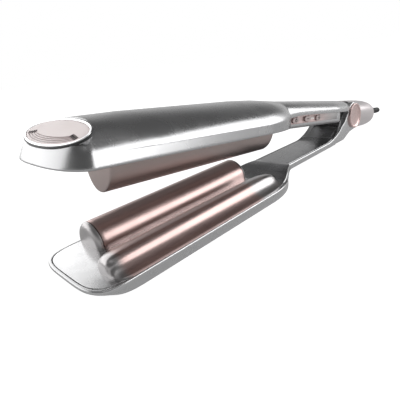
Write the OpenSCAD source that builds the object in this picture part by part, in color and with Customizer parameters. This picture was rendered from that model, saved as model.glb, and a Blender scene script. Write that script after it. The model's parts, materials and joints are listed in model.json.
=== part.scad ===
// Deep-wave hair crimper: two arms on one hinge pin. The upper arm carries one half-round heated barrel that
// closes into the valley between two heated barrels on the lower arm. Both arms are drawn at rest, held open by
// the hinge spring. Lengths are in millimetres. X runs along the lower arm from its tip towards the hinge.

/* [Hinge] */
// How much farther from the hinge pin the tip of the lower arm lies than the nose of the upper arm
tip_offset = 1.3; // [0:0.1:3]
// Height of the hinge pin above the table
hinge_z = 22.5; // [21:0.1:25]
// Angle between the arms at rest, in degrees
rest_angle = 7; // [6:0.1:9]
// Angle that stays between housing and tray when the jaws are closed, in degrees
closed_angle = 1; // [0.9:0.05:1.6]
// Radius of the hinge knuckle and of the two ears
knuckle_r = 10.6; // [9.5:0.1:11.2]
// Width of the hinge over both ears
hinge_w = 28; // [26:0.5:30]
// Thickness of one ear
ear_t = 4.5; // [3.5:0.1:5.5]
// Radius of the hinge pin
pin_r = 3; // [2:0.1:4]
// Radial running clearance of the pin in the knuckle
pin_fit = 0.05; // [0.02:0.01:0.1]
// Gap between knuckle and ears, and round each ear
hinge_gap = 0.4; // [0.3:0.05:0.6]

/* [Lower arm] */
// Width of the tray
tray_w = 52.3; // [51:0.1:58]
// Height of the tray's rim above the table
tray_h = 6; // [5.5:0.1:7]
// Length of the tray, tip to heel
tray_l = 142.5; // [141:0.5:146]
// Length over which the tip is rounded
tray_tip_l = 20; // [14:0.5:26]
// Length over which the heel is rounded
tray_heel_l = 34; // [26:0.5:38]
// How far the underside's edge lies behind the rim at the tip
tip_lift = 7; // [4:0.1:8]
// Wall thickness of the lower shell
lower_wall = 2; // [1.6:0.1:2.4]
// Height of the neck's upper edge above the table
neck_h = 10.8; // [10:0.1:12]
// Width of the bright rim round the deck
rim_w = 1.1; // [0.9:0.1:1.4]
// Thickness of deck and neck cover
deck_t = 1.6; // [1.2:0.1:2]

/* [Lower barrels] */
// Half width of each lower barrel
low_r = 10.5; // [10:0.1:11]
// Height of the near barrel's arched top over its foot
near_h = 6.6; // [6.2:0.1:10.5]
// Height of the far barrel's arched top over its foot
far_h = 10.5; // [8:0.1:10.8]
// Height of the straight foot under each lower barrel
low_foot = 0.8; // [0.4:0.1:1.2]
// Front end of the near barrel, behind the tip
near_x0 = 23.5; // [22:0.5:25]
// Length of the near barrel
near_l = 78.5; // [76:0.5:80]
// Front end of the far barrel, behind the tip
far_x0 = 22; // [20:0.5:23]
// Length of the far barrel
far_l = 99; // [96:0.5:100]
// Length of the near barrel's front end cap
near_cap = 13; // [11:0.5:13.5]
// Length of the near barrel's rear end cap
near_tail = 21.5; // [18:0.5:22]
// Length of the far barrel's front end cap
far_cap = 2.4; // [1.8:0.1:4]
// Length of the far barrel's rear end cap
far_tail = 1.6; // [1.4:0.1:2]

/* [Upper arm] */
// Width of the upper housing
head_w = 56.8; // [55:0.1:60]
// Length of the upper housing behind the upper barrel
head_tail = 12.4; // [10:0.1:16]
// Height of the housing over its lower edge
head_h = 16; // [14.5:0.1:18]
// Length over which the nose is rounded
nose_l = 9; // [7:0.5:12]
// How far the nose stands out in front of the pad's lower edge
nose_lip = 0.6; // [0:0.1:1.2]
// Length over which the housing's rear corners are rounded
shoulder_l = 40; // [34:0.5:44]
// Height of the base frame
base_h = 4.8; // [4:0.1:6]
// Height at which the sloped nose face starts
slope_z = 6.8; // [6.2:0.1:8]
// Rise of the sloped nose face per millimetre of length
slope_k = 0.62; // [0.5:0.01:0.8]
// Wall thickness of the upper shell
upper_wall = 2.2; // [1.8:0.1:2.6]
// Distance from the housing's rear end to the hinge pin
handle_l = 90.1; // [84:0.1:98]
// Height of the hinge pin against the housing's lower edge
pivot_z = -1.5; // [-2:0.1:-1]

/* [Upper barrel] */
// Half width of the upper barrel
up_r = 11.4; // [10.8:0.1:11.6]
// Depth of the upper barrel at its front end, below the housing's edge
up_depth = 16.1; // [15:0.1:16.6]
// Front end of the upper barrel, behind the nose
up_x0 = 22.6; // [21:0.1:25]
// Length of the upper barrel
up_l = 111; // [106:0.5:114]

/* [Handle] */
// Half width of the handle's upper shell
handle_r = 17.3; // [16.5:0.1:18]
// Half width of the handle's end at the hinge
handle_end_r = 14.6; // [14:0.1:15]
// Step from the upper shell to the inset lower part
handle_step = 1.4; // [1:0.1:1.8]
// Length of a button
button_l = 7; // [6:0.1:8]
// Height of a button
button_h = 3; // [2.6:0.1:3.2]
// How far a button stands out of the control strip
button_out = 0.9; // [0.8:0.05:1.2]
// Travel of a button
button_travel = 0.6; // [0.4:0.05:0.7]
// Gap round each button
button_gap = 0.3; // [0.25:0.05:0.4]

/* [Rear cap and cord outlet] */
// Distance from the hinge pin to the end of the rear cap
rear_l = 51.9; // [50:0.1:58]
// Height of the cord's axis against the housing's lower edge
cord_z = -3.4; // [-4:0.1:-3]
// Length of the turning collar
collar_l = 3.4; // [3:0.1:4]
// Radius of the collar
collar_r = 6; // [5.4:0.1:6.4]
// Length of the ribbed strain relief behind the collar
relief_l = 28; // [24:0.5:32]
// Radius of the strain relief at its root
relief_r0 = 3.2; // [3:0.1:3.4]
// Radius of the strain relief at its end
relief_r1 = 2.4; // [2.3:0.05:2.6]
// Radius of the bore for the cord
cord_r = 1.5; // [1.2:0.1:1.7]
// Radial running clearance of the collar's journal
journal_fit = 0.05; // [0.02:0.01:0.1]

/* [Hidden] */
$fn = 64;

// Both arms are set out from the upper barrel: the housing covers it, and the hinge follows the housing.
head_l = up_x0 + up_l + head_tail;
pivot_x = head_l + handle_l;
hinge_x = pivot_x + tip_offset;
rear_x1 = pivot_x + rear_l;

// The row's origin lies under the middle of the whole object.
relief_x1 = rear_x1 + collar_l + relief_l;
overall_l = hinge_x + (relief_x1 - pivot_x) * cos(rest_angle)
    + (cord_z + relief_r1 - pivot_z) * sin(rest_angle);
mid_x = overall_l / 2;

// Small shared sizes
eps = 0.01;
seam = 0.2;
edge = 1;
lip_h = 1.6;
slip = 0.05;
tip_tuck = 0.6;

button_flange = 0.5;
light_r = 0.6;
tongue_w = 14;
tongue_h = 4.6;
tongue_z = -3;
tongue_lap = 1.5;
tongue_fore = 30;
tongue_rear = 26;
rear_tongue_h = 9;
cord_room = 30;
spring_r = 4.5;
wire_r = 0.8;
spring_l = 8;
spring_turns = 4;
spigot_r = 2.3;
ribs = 8;
rib_at = [0.45, 0.55, 0.85, 0.95];
rib_depth = 0.4;

// Lower arm, derived
ear_in = hinge_w / 2 - ear_t;
deck_z = tray_h - deck_t;
barrel_rim = 0.45;
low_y = tray_w / 2 - barrel_rim - low_r;
heater_w = 11;
heater_h = 3;
clip_h = 1.2;
screw_r = 1.5;
screw_head_r = 3;
head_seat = 0.8;
head_t = 0.4;
screw_inset = 12;
heater_inset = 20;
neck_x0 = tray_l - 18;
neck_x1 = hinge_x - 42;
neck_belly = 3.6;
neck_side = 3.3;
wire_w = 6;
cover_drop = 0.8;
cap_out = 1.6;
cap_r = knuckle_r - 1;

// Upper arm, derived
handle_x0 = head_l - 7;
handle_x1 = pivot_x - 30;
handle_end = pivot_x - 8;
up_mid = up_x0 + up_l / 2;
knuckle_w = 2 * (ear_in - hinge_gap);
barrel_top = 1.6;
barrel_wall = 2;
up_floor = -3;
up_heater_inset = 20;
clip_inset = 2;
clip_t = 0.4;
up_clip_h = 1.4;
sensor_y = 7.2;
thermistor_r = 1.2;
thermistor_l = 7;
fuse_r = 1.4;
fuse_l = 11;
bridge_l = 8;
bridge_xs = [up_x0 + bridge_l / 2, up_x0 + up_l - bridge_l / 2];
bottom_z0 = -1.8;
bottom_z1 = -4.9;
strip_x0 = handle_x0 + 3;
strip_x1 = handle_x1 - 2;
strip_t = 0.9;
under_r = handle_r - handle_step;
button_xs = [strip_x0 + 6, strip_x0 + 20, strip_x0 + 34];
button_root = 1.2;
pocket_y = under_r - strip_t - button_root - button_travel - 1.2;
board_t = 1.2;
board_h = 5.4;
switch_t = 1.5;
switch_w = 3.4;
plunger_r = 1;
pocket_z = -1.4;
pocket_x0 = handle_x0 + 4;
pocket_l = handle_x1 - 2 - pocket_x0;
board_inset = 3;
ear_reach = 27;
pad_t = 1.2;
pad_ring_w = 1.1;
pad_l = 8.2;
pad_w = 26.6;
cap_x0 = pivot_x + 14;
cap_round = rear_x1 - cap_x0 + 3.6;
light_xs = [button_xs[1] + 5.6, button_xs[1] + 7, button_xs[1] + 8.4];
journal_r = 3.6;
journal_l = 8;
flange_r = 4.8;
flange_l = 1.6;

// Quarter of a superellipse: half width at distance x from its apex, over length l up to width w
function bulge(x, l, w, n) = w * pow(max(0, 1 - pow(max(0, (l - x) / l), n)), 1 / n);

// Outline with two superellipse ends, as points from the tip round to the tip
function end_pts(l, w, n, m) = [for (i = [0:m]) let (a = 90 * i / m)
    [l * (1 - pow(cos(a), 2 / n)), w * pow(sin(a), 2 / n)]];
function side_pts(total, l0, n0, l1, n1, w, m) = concat(end_pts(l0, w, n0, m),
    [for (i = [m:-1:0]) let (p = end_pts(l1, w, n1, m)[i]) [total - p[0], p[1]]]);
module two_ended(total, l0, n0, l1, n1, w, m = 12) {
    side = side_pts(total, l0, n0, l1, n1, w, m);
    last = len(side) - 1;
    polygon(concat(side, [for (i = [last - 1:-1:1]) [side[i][0], -side[i][1]]]));
}

// Solid through a list of rings that have the same number of points
module loft(rings) {
    n = len(rings[0]);
    m = len(rings);
    polyhedron(points = [for (r = rings) each r],
        faces = concat([[for (i = [0:n - 1]) i]], [[for (i = [n - 1:-1:0]) (m - 1) * n + i]],
            [for (k = [0:m - 2]) for (i = [0:n - 1]) [k * n + i, (k + 1) * n + i, (k + 1) * n + (i + 1) % n]],
            [for (k = [0:m - 2]) for (i = [0:n - 1]) [k * n + i, (k + 1) * n + (i + 1) % n, k * n + (i + 1) % n]]));
}

// Arched ring across the arm: flat at height z0, arched up to z1
function arch(x, w, z0, z1, n = 2.5, m = 24) = [for (i = [0:m]) let (a = 180 * i / m)
    [x, sign(cos(a)) * w * pow(abs(cos(a)), 2 / n), z0 + (z1 - z0) * pow(sin(a), 2 / n)]];

// Oval ring across the arm
function oval(x, w, h, zc, n = 2.3, m = 32) = [for (i = [0:m - 1]) let (a = 360 * i / m)
    [x, sign(cos(a)) * w * pow(abs(cos(a)), 2 / n), zc + sign(sin(a)) * h * pow(abs(sin(a)), 2 / n)]];

// Profile in the XZ plane, drawn across the arm from -y to y
module across(y) {
    translate([0, y, 0])
        rotate([90, 0, 0])
            linear_extrude(2 * y)
                children();
}

// Frames: the lower arm keeps the tip frame, the upper arm turns about the pin
module lower() {
    translate([-mid_x, 0, 0])
        children();
}
module upper() {
    translate([hinge_x - mid_x, 0, hinge_z])
        rotate([0, rest_angle, 0])
            translate([-pivot_x, 0, -pivot_z])
                children();
}

// ---------------------------------------------------------------- lower arm

module tray_plan(inset = 0, lift = 0) {
    back = max(inset, lift);
    translate([back, 0])
        two_ended(tray_l - back - inset, tray_tip_l - inset / 2, 4.2, tray_heel_l - inset / 2, 2.3,
            tray_w / 2 - inset);
}

// Side view of the neck between the tray and the ears
neck_top = [[neck_x0, tray_h], [neck_x0 + 4, tray_h + 0.9], [neck_x0 + 9, tray_h + 2.9],
    [neck_x0 + 14, neck_h - 0.6], [neck_x0 + 20, neck_h], [neck_x1, neck_h], [neck_x1 + 9, neck_h + 1.5],
    [neck_x1 + 17, neck_h + 4.6], [neck_x1 + 24, neck_h + 8.8]];
neck_low = [[hinge_x - 4, hinge_z - knuckle_r + 0.8], [hinge_x - 13, hinge_z - knuckle_r - 2.4],
    [hinge_x - 26, neck_belly + 1.6], [neck_x1, neck_belly], [neck_x0 + 32, neck_belly],
    [neck_x0 + 12, 2.2], [neck_x0 + 6, 0.6], [neck_x0, 0.6]];

module neck_profile() {
    polygon(concat(neck_top, neck_low));
}

// Half width and lower edge of the shoulders that widen the neck into the heel of the tray
shoulder_w = [0.42 * tray_w, 0.4 * tray_w, 0.37 * tray_w, 0.32 * tray_w, hinge_w / 2];
shoulder_z = [lower_wall, lower_wall, 4, 5.5, neck_h - neck_side + 0.2];
module shoulders() {
    loft([for (i = [0:len(shoulder_w) - 1]) let (x = neck_top[i][0], w = shoulder_w[i], z = neck_top[i][1])
        [[x, -w, shoulder_z[i]], [x, w, shoulder_z[i]], [x, w, z], [x, -w, z]]]);
}

module ear_profile() {
    translate([hinge_x, hinge_z])
        circle(knuckle_r);
    polygon([[neck_x1, neck_h - neck_side], [neck_x1, neck_h], [neck_x1 + 9, neck_h + 1.5],
        [neck_x1 + 17, neck_h + 4.6], [neck_x1 + 24, neck_h + 8.8],
        [hinge_x - knuckle_r * cos(20), hinge_z + knuckle_r * sin(20)], [hinge_x, hinge_z],
        [hinge_x + knuckle_r * sin(10), hinge_z - knuckle_r * cos(10)],
        [hinge_x - 16, hinge_z - knuckle_r - 2.6], [neck_x1 + 10, neck_h - neck_side]]);
}

// Section of the neck: straight sides over a shallow keel
keel = [[1, -neck_side], [0.94, -neck_side - 0.7], [0.72, -neck_side - 2.1], [0.43, neck_belly + 0.5 - neck_h],
    [0.2, neck_belly - neck_h]];
module neck_section() {
    r = hinge_w / 2;
    polygon(concat([[r, 40], [-r, 40]], [for (p = keel) [-r * p[0], neck_h + p[1]]],
        [for (i = [len(keel) - 1:-1:0]) [r * keel[i][0], neck_h + keel[i][1]]]));
}

// Room inside the tray, from height z upwards, up to the neck
module tray_room(inset, z, lift = 0) {
    translate([0, 0, z])
        linear_extrude(tray_h)
            intersection() {
                tray_plan(inset, lift);
                square([2 * neck_x0, tray_w], center = true);
            }
}

module lower_shell() {
    color("silver") lower() {
        difference() {
            union() {
                hull() {
                    translate([0, 0, tray_h - lip_h])
                        linear_extrude(lip_h)
                            tray_plan();
                    translate([0, 0, edge])
                        linear_extrude(edge)
                            tray_plan(0.15, tip_tuck * tip_lift);
                    linear_extrude(edge)
                        tray_plan(edge, tip_lift);
                }
                intersection() {
                    across(hinge_w / 2)
                        neck_profile();
                    translate([neck_x0, 0, 0])
                        rotate([90, 0, 90])
                            linear_extrude(hinge_x - neck_x0 - 16)
                                neck_section();
                }
                shoulders();
                for (s = [-1, 1])
                    translate([0, s * (hinge_w - ear_t) / 2, 0])
                        across(ear_t / 2)
                            ear_profile();
            }
            tray_room(lower_wall, lower_wall, tip_tuck * tip_lift + lower_wall);
            tray_room(rim_w, deck_z);
            across(hinge_w / 2 - lower_wall)
                cover_slot();
            across(wire_w)
                wire_channel();
            translate([hinge_x, 0, hinge_z])
                rotate([90, 0, 0])
                    cylinder(r = knuckle_r + hinge_gap, h = 2 * ear_in, center = true);
            translate([hinge_x, 0, hinge_z])
                rotate([90, 0, 0])
                    cylinder(r = pin_r, h = hinge_w + 2, center = true);
            at_lower_screws() {
                translate([0, 0, -1])
                    cylinder(r = screw_r + slip, h = 20);
                translate([0, 0, head_seat - 2])
                    cylinder(r = screw_head_r + slip, h = 2);
            }
        }
        difference() {
            at_lower_screws()
                translate([0, 0, lower_wall - eps])
                    cylinder(r = screw_head_r, h = deck_z - lower_wall + eps);
            at_lower_screws()
                translate([0, 0, -1])
                    cylinder(r = screw_r + slip, h = 20);
        }
    }
}

// Ends of the lower barrels: side -1 is the near one, side 1 the far one
function low_x0(side) = side < 0 ? near_x0 : far_x0;
function low_l(side) = side < 0 ? near_l : far_l;
function low_h(side) = side < 0 ? near_h : far_h;

module at_lower_screws() {
    for (s = [-1, 1])
        for (x = [screw_inset, low_l(s) - screw_inset])
            translate([low_x0(s) + x, s * low_y, 0])
                children();
}

// Room for the neck cover, and for the wires below it
module cover_slot() {
    n = len(neck_top) - 3;
    polygon(concat([for (i = [0:n]) neck_top[i] - [0, cover_drop + deck_t]],
        [for (i = [n:-1:0]) neck_top[i] + [0, 5]]));
}
module wire_channel() {
    polygon([[neck_x0 - 3, lower_wall], [neck_x0 - 3, tray_h - cover_drop - deck_t + eps],
        [neck_x0, tray_h - cover_drop - deck_t + eps], [neck_x0 + 16, tray_h + 0.5],
        [neck_x0 + 32, neck_h - cover_drop - deck_t + eps], [neck_x1 - 6, neck_h - cover_drop - deck_t + eps],
        [neck_x1 - 6, neck_belly + lower_wall], [neck_x0 + 15, neck_belly + lower_wall],
        [neck_x0 + 4, lower_wall]]);
}

module neck_cover() {
    n = len(neck_top) - 3;
    color("dimgray") lower()
        across(hinge_w / 2 - lower_wall - slip)
            polygon(concat([for (i = [0:n]) neck_top[i] - [0, cover_drop + deck_t] + [i == 0 ? slip : 0, 0]],
                [for (i = [n:-1:0]) neck_top[i] - [0, cover_drop] + [i == 0 ? slip : 0, 0]]));
}

module lower_deck() {
    color("gray") lower()
        translate([0, 0, deck_z])
            difference() {
                linear_extrude(deck_t)
                    intersection() {
                        tray_plan(rim_w + seam);
                        square([2 * (neck_x0 - seam), tray_w], center = true);
                    }
                at_lower_screws()
                    cylinder(r = screw_r + 2 * slip, h = 3 * deck_t, center = true);
                for (s = [-1, 1])
                    translate([low_x0(s) + low_l(s) / 2, s * low_y, 0])
                        cube([24, heater_w - 2, 3 * deck_t], center = true);
            }
}

module lower_barrel(side) {
    color("rosybrown") lower()
        translate([low_x0(side), side * low_y, 0])
            difference() {
                rotate([90, 0, 90])
                    linear_extrude(low_l(side)) {
                        intersection() {
                            translate([0, tray_h + low_foot])
                                scale([1, low_h(side) / low_r])
                                    circle(low_r);
                            translate([-low_r, tray_h + low_foot])
                                square([2 * low_r, 2 * low_r]);
                        }
                        translate([-low_r, tray_h])
                            square([2 * low_r, low_foot + eps]);
                    }
                translate([4, -heater_w / 2 - slip, tray_h - 1])
                    cube([low_l(side) - 8, heater_w + 2 * slip, heater_h + clip_h + 1 + slip]);
                for (x = [screw_inset, low_l(side) - screw_inset])
                    translate([x, 0, tray_h - 1])
                        cylinder(r = screw_r, h = low_h(side) - 1);
            }
}

// One rounded end cap of height h with its flat face at x = 0, swelling towards +X over length l
module barrel_cap(l, h) {
    scale([1, 1, h / low_r])
        rotate([0, 90, 0])
            rotate([0, 0, 90])
                rotate_extrude(angle = 180)
                    polygon(concat([[0, 0]], [for (i = [0:12]) let (a = 90 * i / 12)
                        [low_r * cos(a), l * sin(a)]]));
    translate([0, 0, -low_foot])
        linear_extrude(low_foot + eps)
            polygon([for (i = [-12:12]) let (a = 90 * i / 12) [l * cos(a), low_r * sin(a)]]);
}

module front_barrel_caps() {
    color("gainsboro") lower()
        for (s = [-1, 1])
            translate([low_x0(s) - seam, s * low_y, tray_h + low_foot])
                mirror([1, 0, 0])
                    barrel_cap(s < 0 ? near_cap : far_cap, low_h(s));
}

module rear_barrel_caps() {
    color("gainsboro") lower()
        for (s = [-1, 1])
            translate([low_x0(s) + low_l(s) + seam, s * low_y, tray_h + low_foot])
                barrel_cap(s < 0 ? near_tail : far_tail, low_h(s));
}

module heater_plate(l) {
    translate([0, -heater_w / 2, 0])
        cube([l, heater_w, heater_h]);
}

// Bowed leaf that presses a heater against its barrel
module leaf_clip(l, bow) {
    rotate([90, 0, 0])
        linear_extrude(heater_w - 2, center = true)
            polygon(concat([for (i = [0:12]) [l * i / 12, bow * sin(180 * i / 12)]],
                [for (i = [12:-1:0]) [l * i / 12, bow * sin(180 * i / 12) - clip_t]]));
}

module lower_heaters() {
    color("lightgray") lower()
        for (s = [-1, 1])
            translate([low_x0(s) + heater_inset, s * low_y, tray_h + clip_h])
                heater_plate(low_l(s) - 2 * heater_inset);
}

module lower_heater_clips() {
    color("goldenrod") lower()
        for (s = [-1, 1])
            translate([low_x0(s) + heater_inset + clip_inset, s * low_y, tray_h + clip_t + eps])
                leaf_clip(low_l(s) - 2 * (heater_inset + clip_inset), clip_h - clip_t - 2 * eps);
}

module lower_thermistor() {
    color("darkorange") lower()
        translate([near_x0 + near_l - heater_inset + seam, -low_y, tray_h + heater_h + clip_h - thermistor_r])
            rotate([0, 90, 0])
                cylinder(r = thermistor_r, h = 0.8 * thermistor_l);
}

module lower_screws() {
    color("darkgray") lower()
        at_lower_screws() {
            translate([0, 0, head_seat - head_t])
                cylinder(r = screw_head_r, h = head_t);
            translate([0, 0, head_seat - eps])
                cylinder(r = screw_r - slip, h = tray_h + min(near_h, far_h) - 2.4 - head_seat);
        }
}

module pivot_pin() {
    color("silver") lower()
        translate([hinge_x, 0, hinge_z])
            rotate([90, 0, 0])
                cylinder(r = pin_r, h = hinge_w, center = true);
}

// Dished cap with a raised ring, outside each ear
module pivot_cap(side) {
    color("rosybrown") lower()
        translate([hinge_x, side * hinge_w / 2, hinge_z])
            rotate([-side * 90, 0, 0])
                rotate_extrude()
                    polygon([[0, 0], [cap_r, 0], [cap_r, cap_out - 0.5], [cap_r - 0.5, cap_out],
                        [cap_r - 1.3, cap_out], [cap_r - 1.9, cap_out - 0.9], [cap_r / 2, 0.45], [0, 0.35]]);
}

// ---------------------------------------------------------------- upper arm

// Half width of the upper arm's outline at distance x from the nose
function handle_w(x) = x < handle_x1 ? handle_r
    : handle_r + (handle_end_r - handle_r) * (x - handle_x1) / (handle_end - handle_x1);
function upper_w(x) = x < nose_l ? bulge(x + nose_lip, nose_l + nose_lip, head_w / 2, 2.5)
    : x < head_l - shoulder_l ? head_w / 2
    : x < head_l ? max(bulge(head_l - x, shoulder_l, head_w / 2, 2.3), handle_w(x)) : handle_w(x);

// Crown height and parting height of the upper shell
function crown_z(x) = x < head_l - 24 ? head_h : head_h - 0.052 * (x - head_l + 24);
function part_z(x) = x < handle_x0 ? base_h : x < handle_x0 + 12 ? base_h + 0.7 * (x - handle_x0) / 12
    : x < handle_x0 + 20 ? base_h + 0.7 : base_h + 0.7 - 0.042 * (x - handle_x0 - 20);
function bottom_z(x) = bottom_z0 + (bottom_z1 - bottom_z0) * (x - handle_x0) / (handle_end - handle_x0);

upper_xs = concat([for (i = [1:7]) (nose_l + nose_lip) * (1 - cos(90 * i / 7)) - nose_lip],
    [head_l - shoulder_l],
    [for (i = [1:9]) head_l - shoulder_l + (shoulder_l - 7) * sin(90 * i / 9)],
    [handle_x0 + 12, handle_x0 + 20, handle_x1, handle_end]);

module upper_body(inset, drop) {
    loft([for (x = upper_xs) arch(max(x, inset - nose_lip), max(1, upper_w(x) - inset), part_z(x) - drop,
        crown_z(x) - inset)]);
}

module nose_cut(depth) {
    translate([-slope_len, 0, slope_z - slope_k * slope_len - depth])
        rotate([0, -atan(slope_k), 0])
            translate([0, -head_w, 0])
                cube([4 * slope_len, 2 * head_w, 60]);
}
slope_len = 12;

// Clearance for the ears, and the seat on the knuckle
module hinge_cut() {
    translate([pivot_x, 0, pivot_z])
        rotate([90, 0, 0]) {
            cylinder(r = knuckle_r, h = 4 * hinge_w, center = true);
            for (s = [-1, 1])
                translate([0, 0, s * (ear_in - hinge_gap + hinge_w)])
                    cylinder(r = knuckle_r + hinge_gap, h = 2 * hinge_w, center = true);
        }
}

module upper_shell() {
    color("gray") upper()
        difference() {
            upper_body(0, 0);
            difference() {
                loft([for (x = [upper_wall + 1, nose_l + 4, head_l - shoulder_l, head_l - 26, head_l - 14,
                    handle_x0, handle_x1, handle_end - 8])
                    arch(x, max(4, upper_w(x) - upper_wall), part_z(x) - 1, crown_z(x) - upper_wall, 2.5, 16)]);
                nose_cut(upper_wall + pad_t);
            }
            nose_cut(0);
            pad_place(-pad_t)
                pad_outline(0.1, pad_t + 1);
            hinge_cut();
        }
}

module base_plan(inset = 0) {
    translate([inset - nose_lip, 0])
        two_ended(head_l + nose_lip - 2 * inset, nose_l + nose_lip, 2.5, shoulder_l, 2.3, head_w / 2 - inset);
}

module upper_base_frame() {
    color("silver") upper()
        difference() {
            union() {
                linear_extrude(base_h)
                    difference() {
                        base_plan();
                        base_plan(upper_wall + 0.6);
                    }
                linear_extrude(2)
                    base_plan(upper_wall);
            }
            translate([up_x0 - 0.3, -up_r - 0.3, -1])
                cube([up_l + 0.6, 2 * up_r + 0.6, 4]);
        }
    color("silver") upper()
        difference() {
            for (x = bridge_xs)
                translate([x - bridge_l / 2, -up_r - 3, barrel_top])
                    cube([bridge_l, 2 * up_r + 6, 1.6]);
            at_bridges(barrel_top - 1)
                cylinder(r = screw_r + slip, h = 5);
        }
}

module at_bridges(z) {
    for (x = bridge_xs)
        translate([x, 0, z])
            children();
}

// Places a shape on the sloped nose face, with its local X along the slope
module pad_place(lift) {
    translate([0, 0, slope_z])
        rotate([0, -atan(slope_k), 0])
            translate([pad_l + 0.6, 0, lift])
                children();
}
module pad_outline(grow, h) {
    linear_extrude(h)
        polygon([for (i = [0:47]) let (a = 360 * i / 48) [(pad_l + grow) * cos(a), (pad_w + grow) * sin(a)]]);
}

module tip_pad_ring() {
    color("whitesmoke") upper()
        pad_place(-pad_t)
            difference() {
                pad_outline(0, pad_t + 0.3);
                translate([0, 0, -1])
                    pad_outline(-pad_ring_w, pad_t + 3);
            }
}

module tip_pad() {
    color("mistyrose") upper() {
        pad_place(-pad_t)
            pad_outline(-pad_ring_w - slip, pad_t + 0.1);
        pad_place(0)
            for (k = [0.35, 0.5, 0.65, 0.8])
                linear_extrude(0.45)
                    difference() {
                        pad_arc(k);
                        pad_arc(k - 0.05);
                    }
    }
}
module pad_arc(k) {
    polygon(concat([[0, -pad_w * k], [0, pad_w * k]], [for (i = [1:15]) let (a = 90 - 180 * i / 16)
        [-pad_l * k * cos(a), pad_w * k * sin(a)]]));
}

// Depth of the upper barrel below the housing's edge, which lessens towards the hinge
module barrel_place() {
    translate([up_x0, 0, 0])
        rotate([0, -closed_angle, 0])
            children();
}

module upper_barrel() {
    color("rosybrown") upper()
        difference() {
            intersection() {
                translate([up_x0, -up_r, -up_depth - 4])
                    cube([up_l, 2 * up_r, up_depth + 4 + barrel_top]);
                barrel_place()
                    rotate([90, 0, 90])
                        translate([0, 0, -10])
                            linear_extrude(up_l + 20) {
                                polygon([for (i = [0:36]) let (a = 180 + 180 * i / 36)
                                    [up_r * cos(a), up_depth * sin(a)]]);
                                translate([-up_r, -eps])
                                    square([2 * up_r, 8]);
                            }
            }
            translate([up_x0 + bridge_l, -up_r + barrel_wall, up_floor])
                cube([up_l - 2 * bridge_l, 2 * (up_r - barrel_wall), 2 * head_h]);
            at_bridges(-6)
                cylinder(r = screw_r, h = 12);
            translate([up_x0 + 2 * bridge_l, -heater_w / 2 - slip, up_floor - heater_h - slip])
                cube([up_l - 4 * bridge_l, heater_w + 2 * slip, 2 * heater_h]);
        }
}

module upper_heater() {
    color("lightgray") upper()
        translate([up_x0 + up_heater_inset, 0, up_floor - heater_h])
            heater_plate(up_l - 2 * up_heater_inset);
}

module upper_heater_clip() {
    color("goldenrod") upper()
        translate([up_x0 + up_heater_inset + clip_inset, 0, up_floor + clip_t + eps])
            leaf_clip(up_l - 2 * (up_heater_inset + clip_inset), up_clip_h);
}

module upper_thermistor() {
    color("darkorange") upper()
        translate([up_x0 + up_l - up_heater_inset - thermistor_l, sensor_y, up_floor + thermistor_r])
            rotate([0, 90, 0])
                cylinder(r = thermistor_r, h = thermistor_l);
}

module thermal_fuse() {
    color("tan") upper()
        translate([up_x0 + up_l - 2 * up_heater_inset, -sensor_y, up_floor + fuse_r])
            rotate([0, 90, 0])
                cylinder(r = fuse_r, h = fuse_l);
}

module upper_screws() {
    color("darkgray") upper()
        at_bridges(barrel_top + 1.6) {
            cylinder(r = screw_head_r, h = 1.2);
            translate([0, 0, -6])
                cylinder(r = screw_r - slip, h = 6 + eps);
        }
}

module handle_plan() {
    polygon([[handle_x0 - 6, -under_r], [handle_x1, -under_r], [handle_end, -handle_end_r + handle_step],
        [handle_end, handle_end_r - handle_step], [handle_x1, under_r], [handle_x0 - 6, under_r]]);
}

// Side view of the handle's lower part
module handle_side() {
    polygon([[handle_x0 - 6, bottom_z(handle_x0 - 6)], [handle_end, bottom_z1],
        [handle_end, part_z(handle_end)], [handle_x0 + 20, part_z(handle_x0 + 20)],
        [handle_x0 + 12, part_z(handle_x0 + 12)], [handle_x0, base_h], [handle_x0 - 6, base_h]]);
}

// Side view of the control strip, grown all round its lower corners
function strip_low(x) = 0.9 - 0.03 * (x - handle_x0);
module strip_side(grow = 0) {
    polygon([[strip_x0 - grow, strip_low(strip_x0) - grow], [strip_x1 + grow, strip_low(strip_x1) - grow],
        [strip_x1 + grow, part_z(strip_x1) + grow], [handle_x0 + 20, part_z(handle_x0 + 20) + grow],
        [handle_x0 + 12, part_z(handle_x0 + 12) + grow], [strip_x0 - grow, part_z(strip_x0) + grow]]);
}
module on_strip(y0, y1) {
    translate([0, y1, 0])
        rotate([90, 0, 0])
            linear_extrude(y1 - y0)
                children();
}

// Rounded bar that a button, its hole and its flange share
module button_face(x, grow) {
    z = (strip_low(x) + part_z(x)) / 2;
    r = button_h / 2 + grow;
    translate([x, z]) {
        for (s = [-1, 1])
            translate([s * (button_l - button_h) / 2, 0])
                circle(r);
        square([button_l - button_h, 2 * r], center = true);
    }
}

// Faces of the button parts along Y, from the outside inwards
strip_y = -under_r;
strip_back = strip_y + strip_t;
flange_back = strip_back + slip + button_root;
button_deep = flange_back + button_travel + slip;
board_y = -pocket_y + switch_t;

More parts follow.
